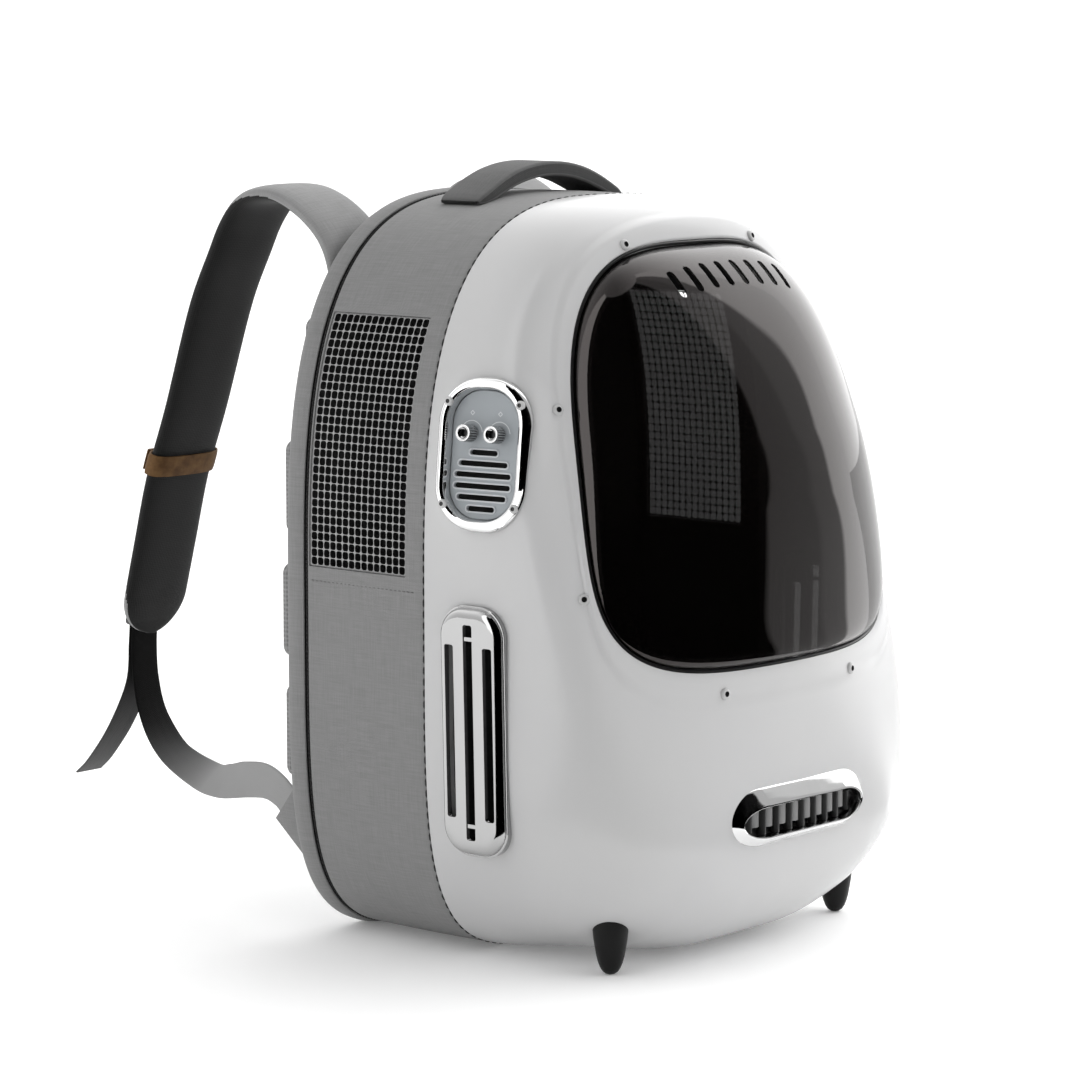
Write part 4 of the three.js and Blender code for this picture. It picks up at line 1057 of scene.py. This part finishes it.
def build_mesh(side, sign):
    """A net panel with one rounded hole in each cell."""
    columns, rows, hole = MESH.columns, MESH.rows, MESH.hole
    low = np.array((MESH.front, MESH.bottom)) + MESH.gap
    high = np.array((MESH.back, MESH.top)) - MESH.gap
    first, last = low + MESH.rim, high - MESH.rim
    pitch_y, pitch_z = (last - first) / (columns, rows)
    ring = rounded_rectangle(hole, hole, hole * 0.28, 2)
    square = []
    for x, y in ring:
        grow = 0.5 / max(abs(x), abs(y))
        square.append((x * grow * pitch_y, y * grow * pitch_z))
    square = np.array(square)
    bevel, thick = MESH.bevel, MESH.thick
    section = ((square, 0.0), (ring * 1.01, 0.0), (ring, bevel), (ring, thick), (square, thick))
    form = Form()
    for row in range(rows):
        for column in range(columns):
            centre = first + (np.array((column, row)) + 0.5) * (pitch_y, pitch_z)
            loops = []
            for loop, sink in section:
                flat = centre + loop
                flat = np.where(flat < first + NEAR, low, np.where(flat > last - NEAR, high, flat))
                points = mesh_place(sign, flat[:, 0], flat[:, 1])
                points[:, 0] -= sign * sink
                loops.append(points)
            form.table(loops)
    made = piece(f"net_{side}", form, [NET], [f"mesh_{side}"], sharp=60)
    with opened(made.data) as net:
        bmesh.ops.remove_doubles(net, verts=net.verts, dist=2 * NEAR * MM)
        bmesh.ops.bridge_loops(net, edges=[edge for edge in net.edges if edge.is_boundary])
        bmesh.ops.recalc_face_normals(net, faces=net.faces)


def build_zip():
    """A sunk dark line with a low ridge along its middle."""
    profile = (
        (0, 0.7), (0.1, 1.2), (0.3, 1.3), (0.42, 0.9), (0.58, 0.9), (0.7, 1.3), (0.9, 1.2), (1, 0.7),
        (1, 3), (0, 3),
    )
    width = ZIP_BACK - ZIP_FRONT
    loops = [body_loop(inset, ZIP_FRONT + share * width) for share, inset in profile]
    piece("zip_line", Form().ring(loops), [ZIP_TAPE], ["zip_band"])


def build_back_panel():
    depth = BACK_REAR - BACK_FRONT
    edge = (
        (0.0, 6.0), (-0.08, 0.6), (-0.12, 0.1), (-0.1, -0.6), (0.0, -1.1), (0.15, -1.6), (0.35, -1.9),
        (0.6, -1.9), (0.8, -1.6), (0.92, -0.9), (0.98, 0.2), (1.0, 1.6), (1.0, 10.0),
    )
    loops = [body_loop(inset, BACK_FRONT + share * depth) for share, inset in edge]
    kinds = [1] + [0] * (len(edge) - 2)
    made = piece("back_board", Form().loft(loops, kinds), [BACK_CLOTH, LINING], ["back_panel"])


def build_pads():
    profile = (
        (1.0, 0.0), (0.4, 0.15), (0.4, 0.5), (0.9, 0.68), (2.0, 0.83), (3.6, 0.93), (5.5, 0.99), (6.8, 1.0),
    )
    for side, sign in SIDES:
        for i, (middle, edge) in enumerate(PAD_ROWS):
            reach = min(half_width_at(middle + PAD.tall / 2), half_width_at(middle - PAD.tall / 2))
            width = reach - edge - PAD.inner_x
            centre = (sign * (PAD.inner_x + width / 2), BACK_REAR + 0.3, middle)
            rows = [(inset, PAD.rise * share) for inset, share in profile]
            loops = inset_loops(rows, width, PAD.tall, PAD.corner, standing_on(centre, (0, 1, 0)))
            node = f"back_pad_{side}_{i + 1}"
            made = piece(f"{node}_foam", Form().loft(loops), [PAD_CLOTH], [node])


# Straps, webbing and handle: sections carried along a path
def path_points(rows, shares):
    """Points and directions along an even curve through the rows."""
    rows = np.asarray(rows, float)
    ends = np.concatenate([[2 * rows[0] - rows[1]], rows, [2 * rows[-1] - rows[-2]]])
    place = np.asarray(shares, float) * (len(rows) - 1)
    first = np.minimum(place.astype(int), len(rows) - 2)
    t = (place - first)[:, None]
    a, b, c, d = (ends[first + i] for i in range(4))
    slope_b, slope_c = (c - a) / 2, (d - b) / 2
    cube, square = 2 * b - 2 * c + slope_b + slope_c, -3 * b + 3 * c - 2 * slope_b - slope_c
    points = cube * t ** 3 + square * t ** 2 + slope_b * t + b
    return points, unit(3 * cube * t ** 2 + 2 * square * t + slope_b)


def column(rows, number, shares):
    """One column of the rows, read evenly along their path."""
    values = [row[number] for row in rows]
    return np.interp(np.asarray(shares) * (len(values) - 1), np.arange(len(values)), values)


def carried(points, along, wide_ways, sections, slanted=False):
    """Loops of the sections, each square to the path, or with its width just along its way where slanted.

    wide_ways is one way for all of them, or one for each.
    """
    loops = []
    wide_ways = np.broadcast_to(wide_ways, points.shape)
    for point, direction, way, section in zip(points, along, wide_ways, sections):
        wide = unit(way) if slanted else unit(way - direction * np.dot(way, direction))
        thick = np.cross(direction, wide)
        loops.append(point + section[:, :1] * wide + section[:, 1:] * thick)
    return np.array(loops)


def round_section(width, thick, power, count=40):
    """A soft-cornered slab cut across. A higher power makes squarer corners."""
    angle = (np.arange(count) + 0.5) / count * 2 * np.pi
    reach = squared_reach(angle, power)
    return np.stack([reach * np.cos(angle) * width / 2, reach * np.sin(angle) * thick / 2], 1)


def strap_loops(shares, round_tip=True):
    points, along = path_points([(x, y, z) for x, (y, z, _, _) in zip(STRAP_X, STRAP)], shares)
    width, thick = column(STRAP, 2, shares), column(STRAP, 3, shares)
    if round_tip:
        way = np.linalg.norm(points - points[-1], axis=1)
        tip = STRAP_WIDTH / 2
        round_width = STRAP_WIDTH * np.sqrt(np.clip(1 - (1 - np.clip(way / tip, 0, 1)) ** 2, 0.02, 1))
        width = np.where(way < tip, round_width, width)
    return points, along, width, thick


def build_strap(side, mirror):
    """A padded strap: dark lining on its front face, grey cloth on its outer face and round its tip."""
    shares = np.concatenate([np.linspace(0, 0.86, 110), np.linspace(0.865, 1, 40)])
    points, along, width, thick = strap_loops(shares)
    sections = []
    for w, t in zip(width, thick):
        sections.append(round_section(w, max(t, STRAP_THINNEST), STRAP_POWER, STRAP_COUNT))
    loops = carried(points, along, ACROSS, sections)
    form = Form().loft(loops)
    to_tip = np.linalg.norm(points - points[-1], axis=1)
    form.kinds = []
    for row in range(len(shares) - 1):
        by_root = np.interp(shares[row], STRAP_BEND, LINING_SPILL)
        by_tip = np.interp(to_tip[row], BARE_TIP, LINING_SPILL)
        form.kinds += [lining_share(number, min(by_root, by_tip)) for number in range(STRAP_COUNT)]
    form.kinds += [1, 1]
    finishes = [STRAP_LINING, STRAP_CLOTH]
    made = piece(f"strap_{side}_pad", form, finishes, [f"strap_{side}"], mirror=mirror)


def lining_share(number, spill):
    """0 where a strip of the strap's section lies on its front face or spills over its edge, else 1."""
    angle = ((number + 1) / STRAP_COUNT * 360 + 90) % 360 - 90
    return 0 if -spill < angle < 180 + spill else 1


def build_keeper(side, mirror):
    shares = np.linspace(KEEPER.start, KEEPER.end, 7)
    points, along, width, thick = strap_loops(shares, False)
    edge = np.array((0.45, 0.1, 0, 0, 0, 0.1, 0.45))
    grow = KEEPER.clear + KEEPER.thick
    outer_sections, inner_sections = [], []
    for w, t, e in zip(width, thick, edge):
        full, bare = 2 * (grow - e), 2 * KEEPER.clear
        outer_sections.append(round_section(w + full, t + full, KEEPER.power))
        inner_sections.append(round_section(w + bare, t + bare, KEEPER.power))
    outer = carried(points, along, ACROSS, outer_sections)
    inner = carried(points, along, ACROSS, inner_sections)
    form = Form().ring(np.concatenate([outer, inner[::-1]]))
    flap_shares = np.linspace(KEEPER.start + KEEPER.flap_inset, KEEPER.end - KEEPER.flap_inset, 5)
    points, along, width, thick = strap_loops(flap_shares, False)
    section = ((0.27, 0.05), (0.47, 0.6), (0.47, -0.1), (0.44, -0.75), (0.3, -0.9), (0.27, -0.8))
    flap = []
    for w, t in zip(width, thick):
        level = t / 2 + grow
        flap.append(np.array([(w * share, rise - level) for share, rise in section]))
    form.loft(carried(points, along, ACROSS, flap))
    piece(f"keeper_{side}_band", form, [LEATHER], [f"keeper_{side}"], mirror=mirror)


def flat_section(width, thick):
    """Webbing cut across, with softly rounded edges."""
    half, thin = width / 2, thick / 2
    upper = [(-half, 0), (-half + 0.4, thin * 0.8), (-half + 1.2, thin), (-half * 0.5, thin), (0, thin),
             (half * 0.5, thin), (half - 1.2, thin), (half - 0.4, thin * 0.8), (half, 0)]
    lower = [(x, -y) for x, y in upper[::-1]][1:-1]
    return np.array(upper + lower)


def web_ways(rows, shares):
    fall = TAB.tip_z - TAB.top_z
    edge = unit((TAB.lean * fall, TAB.tip_y - TAB.top_y, fall))
    turn = column(rows, 3, shares)[:, None] * np.pi / 2
    return ACROSS * np.cos(turn) + edge * np.sin(turn)


def build_webbing(name, rows, steps, material, replaced, mirror, slanted=False):
    shares = np.linspace(0, 1, steps)
    points, along = path_points([row[:3] for row in rows], shares)
    sections = [flat_section(WEB.width, WEB.thick)] * steps
    loops = carried(points, along, web_ways(rows, shares), sections, slanted)
    piece(name, Form().loft(loops), [material], [replaced], mirror=mirror, sharp=50)


def build_tab(side, mirror):
    corners = (
        (TAB.top_y, TAB.top_z), (TAB.tip_y, TAB.tip_z),
        (TAB.root_y, TAB.foot_z), (TAB.root_y, TAB.top_z),
    )
    flat = []
    for (y0, z0), (y1, z1) in zip(corners, corners[1:] + corners[:1]):
        for share in np.linspace(0, 1, 8, endpoint=False):
            flat.append((y0 + (y1 - y0) * share, z0 + (z1 - z0) * share))
    flat = np.array(flat)
    middle = flat.mean(0)
    loops = []
    for lift, shrink in ((-0.5, 0.94), (-0.35, 1), (0.35, 1), (0.5, 0.94)):
        loop = middle + (flat - middle) * shrink
        x = TAB.x - TAB.lean * (TAB.top_z - loop[:, 1]) + lift * TAB.thick
        loops.append(joined(x, loop[:, 0], loop[:, 1]))
    piece(f"tab_{side}_cloth", Form().loft(loops), [GREY_CLOTH], [f"tab_{side}"], mirror=mirror)


def build_handle():
    rows = [(-x, z, w, t) for x, z, w, t in HANDLE_HALF[:0:-1]] + list(HANDLE_HALF)
    shares = np.linspace(0, 1, 90)
    points, along = path_points([(x, HANDLE_Y, z) for x, z, _, _ in rows], shares)
    width, thick = column(rows, 2, shares), column(rows, 3, shares)
    corner_steps = 5
    sections = [rounded_rectangle(w, t, 1.6, corner_steps) for w, t in zip(width, thick)]
    form = Form().loft(carried(points, along, DEPTHWAYS, sections))
    # Painted shade: the two side faces take the darker handle cloth, and the underside takes the dark lining
    per_row = [0] * len(sections[0])
    for quarter in (2, 4):
        per_row[quarter * (corner_steps + 1) - 1] = 1
    underside = 3 * (corner_steps + 1) - 1
    per_row[underside] = 2
    form.kinds = per_row * (len(shares) - 1) + [0, 0]
    made = piece("carry_handle", form, [HANDLE_CLOTH, HANDLE_PAINTED_SHADE, LINING], ["handle"])


def build_buckle(side):
    """The plain buckle of the construction, with its edges rounded, slid up behind the strap's tip."""
    node = f"adjuster_{side}"
    mesh = frame["nodes"][node].data.copy()
    flat, sharp, rounding = 2, 50, 0.5
    with opened(mesh) as shape:
        bmesh.ops.translate(shape, verts=shape.verts, vec=Vector(BUCKLE_RISE) * MM)
        bmesh.ops.remove_doubles(shape, verts=shape.verts, dist=1e-6)
        bmesh.ops.dissolve_limit(shape, angle_limit=math.radians(flat), verts=shape.verts, edges=shape.edges)
        edges = [edge for edge in shape.edges if edge.calc_face_angle(0) > math.radians(sharp)]
        bmesh.ops.bevel(shape, geom=edges, offset=rounding * MM, segments=3, affect="EDGES", profile=0.5)
    mesh.materials.clear()
    mesh.materials.append(BUCKLE)
    soften(mesh, sharp)
    made = linked(f"{node}_frame", mesh)
    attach(made, "bag")
    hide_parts(node)


# Stitches: the distance from one to the next, their length and their thickness
SHELL_STITCH = (6.4, 4.6, 0.5)
ZIP_STITCH = (2.6, 1.8, 0.4)
NET_STITCH = (3.2, 2.3, 0.28)


def stitch_run(form, path, outward, spacing, length, thick):
    """Short threads laid end to end along a path of points, each humped off the cloth."""
    path, outward = np.asarray(path, float), np.asarray(outward, float)
    way = running(np.linalg.norm(np.diff(path, axis=0), axis=1))
    starts = np.arange(spacing / 2, way[-1] - length, spacing)
    stations = ((0, 0.35, -0.25), (0.25, 1, 0.15), (0.75, 1, 0.15), (1, 0.35, -0.25))
    for start in starts:
        places = [start + share * length for share, _, _ in stations]
        centre = np.stack([np.interp(places, way, path[:, i]) for i in range(3)], 1)
        normal = unit(np.stack([np.interp(places, way, outward[:, i]) for i in range(3)], 1))
        along = unit(centre[-1] - centre[0])
        loops = []
        for point, up, (_, size, lift) in zip(centre, normal, stations):
            beside = unit(np.cross(along, up))
            angle = np.arange(6) / 6 * 2 * np.pi
            ring = np.cos(angle)[:, None] * beside + np.sin(angle)[:, None] * up
            loops.append(point + up * lift * thick + ring * thick * size)
        form.loft(loops)


def build_stitches():
    outward = body_loop(-1, 0) - body_loop(0, 0)
    order = np.append(np.arange(AROUND), 0)
    seam, sunk = Form(), 0.1
    for depth, stitch in ((BAND_FRONT + 0.4, SHELL_STITCH), (BAND_BACK + 0.1, ZIP_STITCH)):
        stitch_run(seam, body_loop(sunk, depth)[order], outward[order], *stitch)
    piece("seam_thread", seam, [THREAD])
    fine = Form()
    margin, proud, count = 8, 0.35, 60
    for _, sign in SIDES:
        depth = np.linspace(MESH.front - margin, MESH.back, count)
        height = MESH.bottom - margin
        line = joined(sign * (half_width_at(height) + proud), depth, height)
        stitch_run(fine, line, np.tile(ACROSS * sign, (count, 1)), *NET_STITCH)
    piece("cloth_thread", fine, [PALE_THREAD])


# Stage, camera and light. Each row of the sky is a direction, where its light starts, where it is full, and
# how strong it is.
SKY = (
    ((0, 0, 1), -1.1, -1.0, 0.02),
    ((0, 0.1, 1), 0.1, 0.95, 0.56),
    ((-0.7, 0.75, 0.1), 0.1, 0.9, 0.85),
    ((0.9, -0.25, 0.2), 0.1, 0.9, 2.2),
    ((0.6, 0.8, 0.1), 0.0, 0.9, 0.5),
)
DARK_WALL = Sizes(radius=4.0, height=16.0, sweep=(-203, -12))

# Glow of the dark wall by direction: where a step starts, where it is full, in degrees, and how much it adds
WALL_GLOW = ((-56, -54, 0.5), (-39, -37, 0.15), (-29, -27, 1.7))


def stage_mesh(name, points, faces, material):
    mesh = bpy.data.meshes.new(name)
    mesh.from_pydata(points, [], faces)
    mesh.materials.append(material)
    made = linked(name, mesh)
    return made


def screen_face():
    """A face that is black in front of the object and glows in steps towards its right end.

    Its left end lies past half a turn, where the bearing starts again, so that it glows in full.
    """
    material = bpy.data.materials.new("screen_face")
    material.use_nodes = True
    material.cycles.emission_sampling = "NONE"
    nodes = Nodes(material.node_tree)
    nodes.tree.nodes.clear()
    split = nodes.add("ShaderNodeSeparateXYZ", {0: nodes.solid_place()})
    bearing = nodes.maths("ARCTAN2", split.outputs[1], split.outputs[0])
    total = 0.0
    for start, full, strength in WALL_GLOW:
        step = nodes.spread(bearing, math.radians(start), math.radians(full), 0.0, strength)
        total = nodes.maths("ADD", step, total)
    glow = nodes.add("ShaderNodeEmission", {"Color": opaque(1), "Strength": total})
    nodes.add("ShaderNodeOutputMaterial", {"Surface": glow.outputs[0]})
    return material


def build_stage():
    size = 60.0
    glow = dict(Emission_Color=opaque(1), Emission_Strength=0.11)
    pale = moulded("floor_pale", 0.95, 0.97, 0.9, 0.02, 60.0, **glow)
    corners = [(-size, -size, 0), (size, -size, 0), (size, size, 0), (-size, size, 0)]
    stage_mesh("floor", corners, [(0, 1, 2, 3)], pale)


def build_light():
    """A soft studio sky: bright above, behind and to both sides, and dim on the camera's side."""
    world = bpy.data.worlds.new("studio")
    world.use_nodes = True
    nodes = Nodes(world.node_tree)
    way = nodes.add("ShaderNodeTexCoord").outputs["Generated"]
    total = 0.0
    for direction, low, high, strength in SKY:
        inputs = {0: way, 1: unit(direction)}
        facing = nodes.add("ShaderNodeVectorMath", inputs, operation="DOT_PRODUCT").outputs["Value"]
        total = nodes.maths("ADD", nodes.spread(facing, low, high, 0.0, strength, "SMOOTHSTEP"), total)
    sky = nodes.tree.nodes["Background"]
    sky.inputs["Color"].default_value = opaque(1)
    nodes.tree.links.new(total, sky.inputs["Strength"])
    bpy.context.scene.world = world
    dark_wall()
    bpy.context.scene.view_settings.view_transform = "Standard"


def dark_wall():
    """A screen and apron round the camera's side, which only show in reflections.

    The apron starts after the screen's bright left end, so that it stays dark on that side.
    """
    angle = np.radians(np.linspace(*DARK_WALL.sweep, 24))
    radius = DARK_WALL.radius
    points = []
    apron_reach, apron_height = 0.35, 0.004
    rows = ((apron_reach, apron_height), (radius, apron_height), (radius, DARK_WALL.height))
    for reach, height in rows:
        points += [(reach * math.cos(a), reach * math.sin(a), height) for a in angle]
    count = len(angle)
    faces = []
    apron_start = int(np.sum(angle < -np.pi))
    for row, first in ((0, apron_start), (count, 0)):
        steps = range(row + first, row + count - 1)
        faces += [(i, i + 1, i + count + 1, i + count) for i in steps]
    wall = stage_mesh("dark_wall", points, faces, screen_face())
    for rays in ("camera", "diffuse", "shadow", "transmission"):
        setattr(wall, f"visible_{rays}", False)


def build_camera():
    """The photograph's view, found by fitting the body's outlines to it."""
    lens = bpy.data.cameras.new("camera")
    lens.sensor_width = 36
    lens.lens = 136.8
    lens.clip_end = 200
    made = linked("camera", lens)
    made.location = (-1.8465, -1.5688, 0.5407)
    forward = Vector((0.7550, 0.6425, -0.1299))
    made.rotation_euler = forward.to_track_quat("-Z", "Y").to_euler()
    bpy.context.scene.camera = made


# Assembly
build_camera()
build_stage()
build_light()
build_shell()
build_window()
build_gasket()
build_window_screws()
build_panel()
build_knobs()
build_vents()
build_grille()
build_feet()
build_band()
build_zip()
build_back_panel()
build_pads()
build_handle()
for side_name, side_sign in SIDES:
    on_left = side_sign == LEFT
    build_mesh(side_name, side_sign)
    build_strap(side_name, on_left)
    build_keeper(side_name, on_left)
    build_buckle(side_name)
    build_webbing(f"webbing_{side_name}_web", WEBBING, 150, WEB_CLOTH, f"webbing_{side_name}", on_left)
    build_webbing(f"tail_{side_name}_web", TAIL, 60, TAIL_CLOTH, f"tail_{side_name}", on_left, True)
    build_tab(side_name, on_left)
build_stitches()

bpy.context.view_layer.update()
